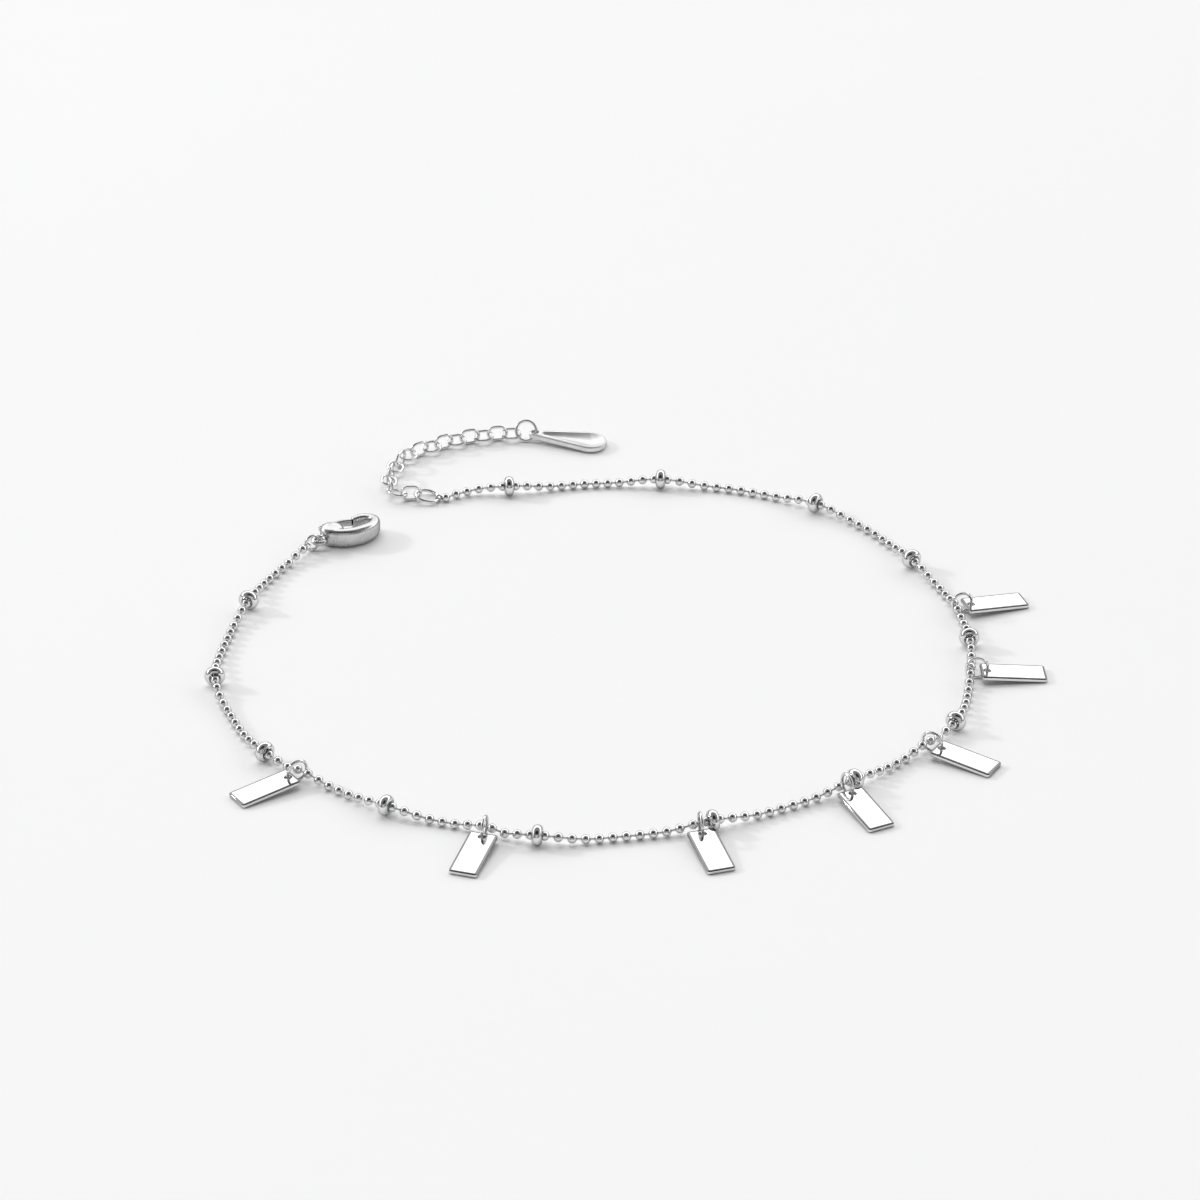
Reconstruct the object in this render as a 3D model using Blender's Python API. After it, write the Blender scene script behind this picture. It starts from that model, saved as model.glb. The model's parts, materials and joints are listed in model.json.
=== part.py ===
"""Silver ball chain bracelet, unclasped and laid open on a flat surface.

One loop of small balls on wire links carries thirteen ring beads and seven
flat tags.  A lobster clasp closes one end.  A cable extender with a teardrop
ends the other.  Lengths are in metres, +Z is up and the surface is at Z = 0.
"""
import bisect
import math

import bmesh
import bpy
from mathutils import Matrix, Vector

MM = 0.001

# Ball chain
BALL_DIAMETER = 1.0 * MM
BALL_PITCH = 1.5 * MM
CHAIN_TUBE_DIAMETER = 0.7 * MM
BEAD_SAG_LENGTH = 6.5 * MM
TAG_SAG_LENGTH = 4.0 * MM
CHAIN_NECK_RADIUS = 0.14 * MM
CHAIN_NECK_HALF_LENGTH = 0.28 * MM
CHAIN_SHOULDER = 0.5 * MM
CHAIN_END_BALL = 0.7 * MM
CHAIN_POINT_SPACING = 5.5 * MM
CHAIN_TUBE_RESOLUTION = 2
HEADING_REACH = 0.4 * MM

# Ring beads
BEAD_DIAMETER = 2.4 * MM
BEAD_LENGTH = 1.15 * MM
BEAD_BORE = 1.05 * MM
BEAD_EDGE = 0.28 * MM
BEAD_BALL_SPACING = 1.61 * MM
BEAD_SIDES = 16

# Tags and the rings that carry them
TAG_LENGTH = 7.6 * MM
TAG_WIDTH = 3.25 * MM
TAG_THICKNESS = 0.5 * MM
TAG_CORNER = 0.3 * MM
TAG_HOLE_DIAMETER = 0.9 * MM
TAG_HOLE_INSET = 0.75 * MM
TAG_HOLE_CLEARANCE = 0.12 * MM
TAG_RING_DIAMETER = 2.85 * MM
TAG_RING_WIRE = 0.36 * MM
TAG_RING_CLEARANCE = 0.12 * MM
TAG_RING_CHAIN_DIP_DEG = 24.0
TAG_REST_CLEARANCE = 0.16 * MM

# Lobster clasp
CLASP_LENGTH = 8.4 * MM
CLASP_WIDTH = 4.6 * MM
CLASP_THICKNESS = 2.3 * MM
CLASP_ARM_WIDTH = 1.3 * MM
CLASP_HEEL_RADIUS = 1.45 * MM
CLASP_EYE_RADIUS = 0.75 * MM
CLASP_EYE_WIRE = 0.6 * MM
CLASP_HEADING_DEG = 34.0
CHAIN_END_GAP = 0.3 * MM
LEVER_PIVOT_ALONG = 2.1 * MM
LEVER_PIVOT_ACROSS = 0.95 * MM
LEVER_HUB_RADIUS = 0.72 * MM
LEVER_THICKNESS = 0.9 * MM
LEVER_HUB_THICKNESS = 0.92 * MM
LEVER_ARM_WIDTH = 0.62 * MM
LEVER_TAB_LENGTH = 1.7 * MM
LEVER_TAB_WIDTH = 0.8 * MM
LEVER_TAB_ROOT = 0.4 * MM
LEVER_TAB_THICKNESS = 0.85 * MM
LEVER_TAB_HEADING_DEG = 100.0
LEVER_CLEARANCE = 0.22 * MM
PIN_RADIUS = 0.2 * MM
PIN_LENGTH = 2.05 * MM

# Small rings and the cable extender
CLASP_RING_DIAMETER = 2.3 * MM
END_RING_DIAMETER = 3.4 * MM
END_RING_WIRE = 0.45 * MM
END_RING_HEADING_DEG = 158.5
SMALL_RING_WIRE = 0.38 * MM
LINK_LENGTH = 2.72 * MM
LINK_WIDTH = 2.15 * MM
LINK_WIRE = 0.36 * MM
LINK_COUNT = 16
LINK_PITCH = 1.775 * MM
LINK_CLEARANCE = 0.2 * MM
LINK_FLAT_ROLL_DEG = 14.0
RING_SIDES = 14
WIRE_SIDES = 6
HOLE_SIDES = 12
ROUND_SIDES = 16

# Teardrop
DROP_LENGTH = 9.9 * MM
DROP_WIDTH = 4.2 * MM
DROP_THICKNESS = 0.75 * MM
DROP_RIM_WIDTH = 0.5 * MM
DROP_RIM_HEIGHT = 0.2 * MM
DROP_EYE_RADIUS = 0.75 * MM
DROP_HOLE_DIAMETER = 0.9 * MM
DROP_RING_DIAMETER = 2.9 * MM
DROP_RING_ROLL_DEG = 58.0

# Length of one unit of the two routes below.
ROUTE_UNIT = 1.0 * MM

# Chosen points of the laid chain in route units, from the clasp's ring to the
# end ring.  A point marked True is the centre of a ring bead.
CHAIN_ROUTE = (
    (-38.64, 20.43, False), (-40.14, 18.23, False), (-42.74, 13.53, False),
    (-44.74, 7.63, True), (-46.54, 0.93, False),
    (-47.64, -9.97, True), (-45.34, -17.77, False),
    (-40.94, -26.67, True), (-33.74, -32.67, False),
    (-26.84, -37.97, True), (-17.94, -41.27, False),
    (-9.94, -44.17, True), (-0.04, -43.37, False),
    (9.46, -41.07, True), (17.66, -37.37, False),
    (25.56, -32.47, True), (31.56, -26.97, False),
    (37.56, -19.97, True), (39.76, -10.17, False),
    (40.26, -1.07, True), (38.36, 9.23, False),
    (34.46, 17.53, True), (29.56, 25.83, False),
    (23.36, 31.43, True), (13.96, 35.93, False),
    (4.46, 37.53, True), (-4.94, 37.43, False),
    (-14.24, 35.73, True), (-18.14, 35.73, False),
    (-20.34, 35.03, False), (-22.44, 33.73, False),
)

# Chosen points of the extender in route units, from the end ring's far side to
# the drop.  The whole run moves with the end ring.
EXTENDER_ROUTE = (
    (-25.9, 34.1), (-27.3, 34.0), (-28.6, 34.8), (-29.3, 37.2), (-28.9, 39.9),
    (-28.3, 42.1), (-27.2, 44.2), (-24.7, 46.1), (-21.5, 48.0), (-18.1, 49.2),
    (-14.6, 49.8), (-12.0, 49.9), (-9.8, 49.5), (-2.1, 47.9),
)

# Each tag: the ring bead span that it hangs in, the gap between balls that
# its ring sits in (counted from the span's start, or back from its end when
# negative), its heading in degrees, and its ring's turn from that heading.
TAGS = (
    (3, 3, -146.1, 0.0),
    (4, 7, -107.3, 5.0),
    (5, -1, -73.0, -8.0),
    (6, -1, -63.6, 0.0),
    (7, 7, -31.2, 0.0),
    (8, 7, 3.4, 0.0),
    (9, 4, 18.9, 0.0),
)

# Centre line of the clasp's claw.  Columns: along, as a share of the length;
# across, as a share of half the width; arm width and height, as shares of the
# arm width and of the thickness.
CLAW_SECTIONS = (
    (0.21, -0.12, 1.00, 0.80),
    (0.32, -0.46, 1.05, 0.98),
    (0.48, -0.68, 1.12, 1.00),
    (0.66, -0.70, 1.12, 1.00),
    (0.82, -0.52, 1.05, 0.92),
    (0.925, -0.10, 0.95, 0.84),
    (0.90, 0.36, 0.88, 0.76),
    (0.80, 0.62, 0.80, 0.70),
    (0.67, 0.69, 0.62, 0.58),
)

# Centre line of the lever's arm, from the hub to the claw's tip.  Columns:
# along and across as shares of the way from the pivot to the arm's end, and
# width as a share of the arm width.
LEVER_SECTIONS = (
    (0.00, 0.00, 1.20),
    (0.16, 1.20, 1.10),
    (0.42, 1.90, 1.00),
    (0.72, 1.75, 0.95),
    (1.00, 1.00, 0.85),
)


def clear_scene():
    """Remove every object of the starting scene."""
    for obj in list(bpy.data.objects):
        bpy.data.objects.remove(obj, do_unlink=True)


def make_metal(name, colour, roughness):
    """Return a polished metal material."""
    material = bpy.data.materials.new(name)
    material.use_nodes = True
    shader = material.node_tree.nodes["Principled BSDF"]
    shader.inputs["Base Color"].default_value = (*colour, 1.0)
    shader.inputs["Metallic"].default_value = 1.0
    shader.inputs["Roughness"].default_value = roughness
    return material


def make_materials():
    """Return the finishes by name."""
    return {
        "balls": make_metal("silver_balls", (0.86, 0.86, 0.86), 0.12),
        "beads": make_metal("silver_beads", (0.88, 0.88, 0.88), 0.08),
        "tags": make_metal("silver_tags", (0.90, 0.90, 0.90), 0.05),
        "clasp": make_metal("silver_clasp", (0.86, 0.86, 0.87), 0.14),
        "links": make_metal("silver_links", (0.84, 0.84, 0.85), 0.14),
    }


def add_piece(name, mesh, material, matrix=Matrix.Identity(4)):
    """Link a mesh into the scene as a named piece at the given place."""
    if not mesh.materials:
        mesh.materials.append(material)
    piece = bpy.data.objects.new(name, mesh)
    piece.matrix_world = matrix
    bpy.context.scene.collection.objects.link(piece)
    return piece


def mesh_from(bm, name, smooth_angle=40.0):
    """Turn a closed bmesh into a smooth-shaded mesh with outward faces."""
    bmesh.ops.recalc_face_normals(bm, faces=bm.faces)
    bmesh.ops.triangulate(bm, faces=[f for f in bm.faces if len(f.verts) > 4])
    mesh = bpy.data.meshes.new(name)
    bm.to_mesh(mesh)
    bm.free()
    mesh.shade_smooth()
    mesh.set_sharp_from_angle(angle=math.radians(smooth_angle))
    return mesh


def unite(name, target, others, operation="UNION"):
    """Combine objects with exact booleans into one new mesh."""
    for other in others:
        modifier = target.modifiers.new(operation.lower(), "BOOLEAN")
        modifier.operation = operation
        modifier.solver = "EXACT"
        modifier.object = other
    depsgraph = bpy.context.evaluated_depsgraph_get()
    result = bpy.data.meshes.new_from_object(target.evaluated_get(depsgraph))
    result.name = name
    for obj in [target, *others]:
        bpy.data.objects.remove(obj, do_unlink=True)
    return result


def tool_object(name, bm):
    """Return a plain object that a boolean can read."""
    bmesh.ops.recalc_face_normals(bm, faces=bm.faces)
    mesh = bpy.data.meshes.new(name)
    bm.to_mesh(mesh)
    bm.free()
    tool = bpy.data.objects.new(name, mesh)
    bpy.context.scene.collection.objects.link(tool)
    return tool


def cylinder(radius, height, centre, sides=ROUND_SIDES):
    """Return a bmesh cylinder along Z."""
    bm = bmesh.new()
    bmesh.ops.create_cone(bm, cap_ends=True, segments=sides, radius1=radius,
                          radius2=radius, depth=height,
                          matrix=Matrix.Translation(centre))
    return bm


def block(low, high):
    """Return a bmesh box between two corners."""
    bm = bmesh.new()
    size = Vector(high) - Vector(low)
    place = Matrix.Translation((Vector(high) + Vector(low)) / 2)
    bmesh.ops.create_cube(bm, size=1.0, matrix=place @ Matrix.Diagonal((*size, 1.0)))
    return bm


def spun_ring(profile, sides):
    """Spin a closed profile of (radius, height) points once around Z."""
    bm = bmesh.new()
    verts = [bm.verts.new((radius, 0.0, height)) for radius, height in profile]
    edges = [bm.edges.new((verts[i - 1], verts[i])) for i in range(len(verts))]
    bmesh.ops.spin(bm, geom=verts + edges, cent=(0, 0, 0), axis=(0, 0, 1),
                   angle=math.tau, steps=sides, use_duplicate=False)
    bmesh.ops.remove_doubles(bm, verts=bm.verts, dist=0.001 * MM)
    return bm


def wire_profile(middle, wire):
    """Points around a round wire's section, centred at a distance from Z."""
    turns = [math.tau * (k + 0.5) / WIRE_SIDES for k in range(WIRE_SIDES)]
    return [(middle + wire / 2 * math.cos(turn), wire / 2 * math.sin(turn)) for turn in turns]


def wire_ring(name, length, width, wire):
    """Return a ring or link mesh of round wire, lying flat, long along X."""
    middle = (width - wire) / 2
    stretch = (length - width) / 2
    bm = spun_ring(wire_profile(middle, wire), RING_SIDES)
    for vert in bm.verts:
        if abs(vert.co.x) > 0.01 * MM:
            vert.co.x += math.copysign(stretch, vert.co.x)
    return mesh_from(bm, name, 60.0)


def loft(sections, centre_line, sides=8):
    """Loft oval sections along a flat line.

    Each section is (half width in the plane, half height along Z).
    """
    bm = bmesh.new()
    loops = []
    for i, (x, y) in enumerate(centre_line):
        before = centre_line[max(i - 1, 0)]
        after = centre_line[min(i + 1, len(centre_line) - 1)]
        heading = Vector((after[0] - before[0], after[1] - before[1])).normalized()
        side = Vector((-heading.y, heading.x))
        half_width, half_height = sections[i]
        loop = []
        for k in range(sides):
            turn = math.tau * (k + 0.5) / sides
            reach = half_width * math.cos(turn) / math.cos(math.pi / sides)
            rise = half_height * math.sin(turn) / math.cos(math.pi / sides)
            loop.append(bm.verts.new((x + side.x * reach, y + side.y * reach, rise)))
        loops.append(loop)
    for first, second in zip(loops, loops[1:]):
        for k in range(sides):
            bm.faces.new((first[k - 1], first[k], second[k], second[k - 1]))
    bm.faces.new(loops[0])
    bm.faces.new(loops[-1])
    return bm


class Path:
    """A smooth flat curve through chosen points, read by length along it."""

    STEPS = 24

    def __init__(self, points):
        self.points = [Vector(p) for p in points]
        first = 2 * self.points[0] - self.points[1]
        last = 2 * self.points[-1] - self.points[-2]
        ends = [first, *self.points, last]
        self.samples = []
        for i in range(len(self.points) - 1):
            for step in range(self.STEPS):
                self.samples.append(self.between(ends[i:i + 4], step / self.STEPS))
        self.samples.append(self.points[-1].copy())
        self.lengths = [0.0]
        for a, b in zip(self.samples, self.samples[1:]):
            self.lengths.append(self.lengths[-1] + (b - a).length)

    @staticmethod
    def between(corners, share):
        """Centripetal Catmull-Rom point between the two middle corners."""
        knots = [0.0]
        for a, b in zip(corners, corners[1:]):
            knots.append(knots[-1] + math.sqrt((b - a).length))
        t = knots[1] + share * (knots[2] - knots[1])
        level = list(corners)
        for windows in (((0, 1), (1, 2), (2, 3)), ((0, 2), (1, 3)), ((1, 2),)):
            blended = []
            for a, b, (i, j) in zip(level, level[1:], windows):
                weight = (t - knots[i]) / (knots[j] - knots[i])
                blended.append(a.lerp(b, weight))
            level = blended
        return level[0]

    @property
    def length(self):
        return self.lengths[-1]

    def length_at(self, index):
        """Length along the curve at one of the chosen points."""
        return self.lengths[index * self.STEPS]

    def at(self, distance):
        """Point of the curve at a length along it."""
        distance = min(max(distance, 0.0), self.length)
        i = min(bisect.bisect_right(self.lengths, distance), len(self.lengths) - 1)
        span = self.lengths[i] - self.lengths[i - 1]
        share = (distance - self.lengths[i - 1]) / span
        return self.samples[i - 1].lerp(self.samples[i], share)

    def heading(self, distance, reach=HEADING_REACH):
        """Direction of the curve in radians at a length along it."""
        way = self.at(distance + reach) - self.at(distance - reach)
        return math.atan2(way.y, way.x)


def bead_stations(path):
    """Lengths along the chain at the ring beads' centres."""
    marks = [i for i, point in enumerate(CHAIN_ROUTE) if point[2]]
    return [path.length_at(i) for i in marks]


def ball_stations(beads, path):
    """Lengths along the chain at the balls' centres, one list for each span."""
    half = BEAD_BALL_SPACING / 2
    spans = []
    first = beads[0] - half
    count = int((first - CHAIN_END_BALL) / BALL_PITCH) + 1
    spans.append([first - BALL_PITCH * k for k in reversed(range(count))])
    for low, high in zip(beads, beads[1:]):
        room = high - low - BEAD_BALL_SPACING
        gaps = max(1, round(room / BALL_PITCH))
        spans.append([low + half + room * k / gaps for k in range(gaps + 1)])
    start = beads[-1] + half
    count = int((path.length - CHAIN_END_BALL - start) / BALL_PITCH) + 1
    spans.append([start + BALL_PITCH * k for k in range(count)])
    return spans


def tag_stations(spans):
    """Lengths along the chain at the gaps that hold the tags' rings."""
    stations = []
    for span, gap, _, _ in TAGS:
        balls = spans[span]
        i = gap if gap >= 0 else len(balls) - 1 + gap
        stations.append((balls[i] + balls[i + 1]) / 2)
    return stations


def ring_chain_height():
    """Height of the chain's centre where a tag's ring holds it up."""
    dip = math.radians(TAG_RING_CHAIN_DIP_DEG)
    return TAG_RING_DIAMETER / 2 - ring_chain_offset() * math.sin(dip)


def ring_chain_offset():
    """Distance from a tag ring's centre to the chain's centre."""
    inside = TAG_RING_DIAMETER / 2 - TAG_RING_WIRE
    return inside - CHAIN_NECK_RADIUS - TAG_RING_CLEARANCE


def chain_height(distance, supports):
    """Height of the chain's centre, sagging to the surface between supports.

    Each support is (length along the chain, height there, sagging length).
    """
    floor = BALL_DIAMETER / 2
    height = floor
    for place, top, sag_length in supports:
        away = abs(distance - place)
        share = min(1.0, away / sag_length)
        ease = share * share * (3 - 2 * share)
        height = max(height, top + (floor - top) * ease)
    return height


def build_chain(path, beads, tag_places, supports, material):
    """The ball chain's outer tube, necked in each bead, ring and end."""
    full = CHAIN_TUBE_DIAMETER / 2
    neck = CHAIN_NECK_RADIUS
    marks = [(0.0, neck), (CHAIN_SHOULDER, full)]
    for place in beads:
        marks += [(place - BEAD_LENGTH / 2 - CHAIN_SHOULDER, full), (place, neck),
                  (place + BEAD_LENGTH / 2 + CHAIN_SHOULDER, full)]
    for place in tag_places:
        reach = CHAIN_NECK_HALF_LENGTH
        marks += [(place - reach - CHAIN_SHOULDER, full), (place - reach, neck),
                  (place + reach, neck), (place + reach + CHAIN_SHOULDER, full)]
    end = path.length
    marks += [(end - CHAIN_SHOULDER, full), (end, neck)]
    marks.sort()
    filled = []
    for (low, radius), (high, _) in zip(marks, marks[1:]):
        filled.append((low, radius))
        extra = math.ceil((high - low) / CHAIN_POINT_SPACING) - 1
        filled += [(low + (high - low) * (k + 1) / (extra + 1), full) for k in range(extra)]
    filled.append(marks[-1])

    curve = bpy.data.curves.new("ball_chain", "CURVE")
    curve.dimensions = "3D"
    curve.bevel_depth = 1.0
    curve.bevel_resolution = CHAIN_TUBE_RESOLUTION
    curve.use_fill_caps = True
    curve.materials.append(material)
    spline = curve.splines.new("POLY")
    spline.points.add(len(filled) - 1)
    for point, (distance, radius) in zip(spline.points, filled):
        place = path.at(distance)
        point.co = (place.x, place.y, chain_height(distance, supports), 1.0)
        point.radius = radius
    chain = bpy.data.objects.new("ball_chain", curve)
    bpy.context.scene.collection.objects.link(chain)
    return chain


def build_beads(path, beads, material):
    """The ring beads, each standing on the surface around the chain."""
    outer = BEAD_DIAMETER / 2
    inner = BEAD_BORE / 2
    half = BEAD_LENGTH / 2
    edge = BEAD_EDGE
    profile = [(outer, -half + edge), (outer, half - edge), (outer - edge, half),
               (inner + edge, half), (inner, half - edge), (inner, -half + edge),
               (inner + edge, -half), (outer - edge, -half)]
    mesh = mesh_from(spun_ring(profile, BEAD_SIDES), "ring_bead", 50.0)
    for number, distance in enumerate(beads, 1):
        place = path.at(distance)
        turn = Matrix.Rotation(path.heading(distance), 4, "Z")
        stand = Matrix.Rotation(math.pi / 2, 4, "Y") @ Matrix.Rotation(math.pi / BEAD_SIDES, 4, "Z")
        seat = Matrix.Translation((place.x, place.y, outer))
        add_piece(f"ring_bead_{number:02d}", mesh, material, seat @ turn @ stand)


def tag_mesh():
    """A flat plate with round corners and a hole, its hole at the origin."""
    near = -TAG_HOLE_INSET
    far = TAG_LENGTH - TAG_HOLE_INSET
    half = TAG_WIDTH / 2
    corners = ((far, half, 0), (near, half, 90), (near, -half, 180), (far, -half, 270))
    outline = []
    for x, y, start in corners:
        centre_x = x - math.copysign(TAG_CORNER, x)
        centre_y = y - math.copysign(TAG_CORNER, y)
        for k in range(4):
            turn = math.radians(start + 30 * k)
            outline.append((centre_x + TAG_CORNER * math.cos(turn),
                            centre_y + TAG_CORNER * math.sin(turn)))
    return plate(outline, [circle(TAG_HOLE_DIAMETER / 2)], TAG_THICKNESS, "tag")


def circle(radius):
    """Points of a small round hole about the origin."""
    turns = [math.tau * k / HOLE_SIDES for k in range(HOLE_SIDES)]
    return [(radius * math.cos(turn), radius * math.sin(turn)) for turn in turns]


def plate(outline, holes, thickness, name):
    """Fill an outline with holes and give it a thickness about Z = 0."""
    bm = bmesh.new()
    edges = []
    for loop in [outline, *holes]:
        verts = [bm.verts.new((x, y, -thickness / 2)) for x, y in loop]
        edges += [bm.edges.new((verts[i - 1], verts[i])) for i in range(len(verts))]
    fill = bmesh.ops.triangle_fill(bm, use_beauty=True, use_dissolve=False, edges=edges)
    faces = [item for item in fill["geom"] if isinstance(item, bmesh.types.BMFace)]
    lifted = bmesh.ops.extrude_face_region(bm, geom=faces)
    verts = [item for item in lifted["geom"] if isinstance(item, bmesh.types.BMVert)]
    bmesh.ops.translate(bm, verts=verts, vec=(0, 0, thickness))
    return mesh_from(bm, name, 35.0)


def build_tags(path, tag_places, material, ring_material):
    """The seven tags, each leaning on its ring with its far end on the surface."""
    plate_mesh = tag_mesh()
    ring = wire_ring("tag_ring", TAG_RING_DIAMETER, TAG_RING_DIAMETER, TAG_RING_WIRE)
    ring_middle = (TAG_RING_DIAMETER - TAG_RING_WIRE) / 2
    hole_height = TAG_RING_WIRE + TAG_REST_CLEARANCE + TAG_THICKNESS / 2
    reach = TAG_LENGTH - TAG_HOLE_INSET
    lean = math.asin((hole_height - TAG_THICKNESS / 2) / reach)
    drop = TAG_RING_DIAMETER / 2 - hole_height
    slide = TAG_HOLE_DIAMETER / 2 - TAG_RING_WIRE / 2 - TAG_HOLE_CLEARANCE
    hole_out = math.sqrt(ring_middle ** 2 - drop ** 2) + slide
    chain_out = ring_chain_offset() * math.cos(math.radians(TAG_RING_CHAIN_DIP_DEG))
    for number, (distance, (_, _, heading, swing)) in enumerate(zip(tag_places, TAGS), 1):
        place = path.at(distance)
        turn = Matrix.Rotation(math.radians(heading + swing), 4, "Z")
        start = Matrix.Translation((place.x, place.y, 0.0)) @ turn
        upright = Matrix.Rotation(math.pi / 2, 4, "X")
        centre = Matrix.Translation((chain_out, 0.0, TAG_RING_DIAMETER / 2))
        spin = Matrix.Rotation(math.pi / RING_SIDES, 4, "Z")
        add_piece(f"tag_ring_{number}", ring, ring_material, start @ centre @ upright @ spin)
        hang = Matrix.Translation((chain_out + hole_out, 0.0, hole_height))
        settle = Matrix.Rotation(math.radians(-swing), 4, "Z") @ Matrix.Rotation(lean, 4, "Y")
        add_piece(f"tag_{number}", plate_mesh, material, start @ hang @ settle)


def clasp_place(path):
    """World places of the clasp's ring and of its eye, heading up the long axis."""
    heading = math.radians(CLASP_HEADING_DEG)
    way = Vector((math.cos(heading), math.sin(heading)))
    chain_way = path.heading(0.0)
    ring_half = CLASP_RING_DIAMETER / 2
    out = Vector((math.cos(chain_way), math.sin(chain_way))) * (ring_half + CHAIN_END_GAP)
    ring_centre = path.at(0.0) - out
    ring_middle = ring_half - SMALL_RING_WIRE / 2
    above = ring_half - CLASP_THICKNESS / 2
    eye = ring_centre + way * math.sqrt(ring_middle ** 2 - above ** 2)
    turn = Matrix.Rotation(heading, 4, "Z")
    ring = Matrix.Translation((ring_centre.x, ring_centre.y, ring_half)) @ turn
    body = Matrix.Translation((eye.x, eye.y, CLASP_THICKNESS / 2)) @ turn
    return ring, body


def build_clasp(path, material, ring_material):
    """Lobster clasp: a ring, a claw with a forked heel, and a sprung lever."""
    ring_matrix, body_matrix = clasp_place(path)
    ring = wire_ring("clasp_ring", CLASP_RING_DIAMETER, CLASP_RING_DIAMETER, SMALL_RING_WIRE)
    upright = Matrix.Rotation(math.pi / 2, 4, "X") @ Matrix.Rotation(math.pi / RING_SIDES, 4, "Z")
    add_piece("clasp_ring", ring, ring_material, ring_matrix @ upright)

    pivot = Vector((LEVER_PIVOT_ALONG, LEVER_PIVOT_ACROSS, 0.0))
    line = [(a * CLASP_LENGTH, b * CLASP_WIDTH / 2) for a, b, _, _ in CLAW_SECTIONS]
    sizes = [(w * CLASP_ARM_WIDTH / 2, h * CLASP_THICKNESS / 2) for _, _, w, h in CLAW_SECTIONS]
    claw = tool_object("claw", loft(sizes, line))
    heel_centre = (LEVER_PIVOT_ALONG, LEVER_PIVOT_ACROSS / 2, 0.0)
    heel = tool_object("heel", cylinder(CLASP_HEEL_RADIUS, CLASP_THICKNESS, heel_centre))
    eye = tool_object("eye", spun_ring(wire_profile(CLASP_EYE_RADIUS, CLASP_EYE_WIRE), RING_SIDES))
    slot_half = LEVER_THICKNESS / 2 + LEVER_CLEARANCE
    hub_room = LEVER_HUB_RADIUS + LEVER_CLEARANCE
    slot_low = (pivot.x - hub_room, pivot.y - hub_room, -slot_half)
    slot_high = (pivot.x + 2 * CLASP_HEEL_RADIUS, CLASP_WIDTH, slot_half)
    slot = tool_object("slot", block(slot_low, slot_high))
    solid = unite("clasp_solid", claw, [heel, eye])
    solid = tool_from_mesh("clasp_uncut", solid)
    cut = unite("clasp_cut", solid, [slot], "DIFFERENCE")
    cut = tool_from_mesh("clasp_slotted", cut)
    pin = tool_object("pin", cylinder(PIN_RADIUS, PIN_LENGTH, pivot, HOLE_SIDES))
    body = unite("clasp_body", cut, [pin])
    finish(body)
    add_piece("clasp_body", body, material, body_matrix)

    build_lever(line[-1], pivot, material, body_matrix)


def build_lever(tip, pivot, material, body_matrix):
    """The lever, with its origin on the hinge pin's axis."""
    arm_end = Vector((tip[0] - LEVER_CLEARANCE, tip[1])) - Vector((pivot.x, pivot.y))
    line = [(a * arm_end.x, b * arm_end.y) for a, b, _ in LEVER_SECTIONS]
    sizes = [(w * LEVER_ARM_WIDTH / 2, LEVER_THICKNESS / 2) for _, _, w in LEVER_SECTIONS]
    arm = tool_object("arm", loft(sizes, line))
    hub = tool_object("hub", cylinder(LEVER_HUB_RADIUS, LEVER_HUB_THICKNESS, (0, 0, 0)))
    tab_turn = math.radians(LEVER_TAB_HEADING_DEG)
    tab_line = [(r * math.cos(tab_turn), r * math.sin(tab_turn))
                for r in (LEVER_TAB_ROOT, LEVER_TAB_LENGTH)]
    tab_sizes = [(LEVER_ARM_WIDTH / 2, LEVER_TAB_THICKNESS / 2),
                 (LEVER_TAB_WIDTH / 2, LEVER_TAB_THICKNESS / 2)]
    tab = tool_object("tab", loft(tab_sizes, tab_line))
    solid = unite("lever_solid", arm, [hub, tab])
    solid = tool_from_mesh("lever_uncut", solid)
    bore_radius = PIN_RADIUS + LEVER_CLEARANCE
    bore = tool_object("bore", cylinder(bore_radius, 2 * LEVER_THICKNESS, (0, 0, 0), HOLE_SIDES))
    lever = unite("clasp_lever", solid, [bore], "DIFFERENCE")
    finish(lever)
    add_piece("clasp_lever", lever, material, body_matrix @ Matrix.Translation(pivot))


def tool_from_mesh(name, mesh):
    """Return an object for a mesh that a boolean has made."""
    tool = bpy.data.objects.new(name, mesh)
    bpy.context.scene.collection.objects.link(tool)
    return tool


def finish(mesh):
    """Weld and shade a mesh that a boolean has made."""
    bm = bmesh.new()
    bm.from_mesh(mesh)
    bmesh.ops.remove_doubles(bm, verts=bm.verts, dist=0.002 * MM)
    bmesh.ops.dissolve_degenerate(bm, edges=bm.edges, dist=0.002 * MM)
    bmesh.ops.triangulate(bm, faces=bm.faces)
    bm.to_mesh(mesh)
    bm.free()
    mesh.materials.clear()
    mesh.shade_smooth()
    mesh.set_sharp_from_angle(angle=math.radians(40.0))


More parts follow.
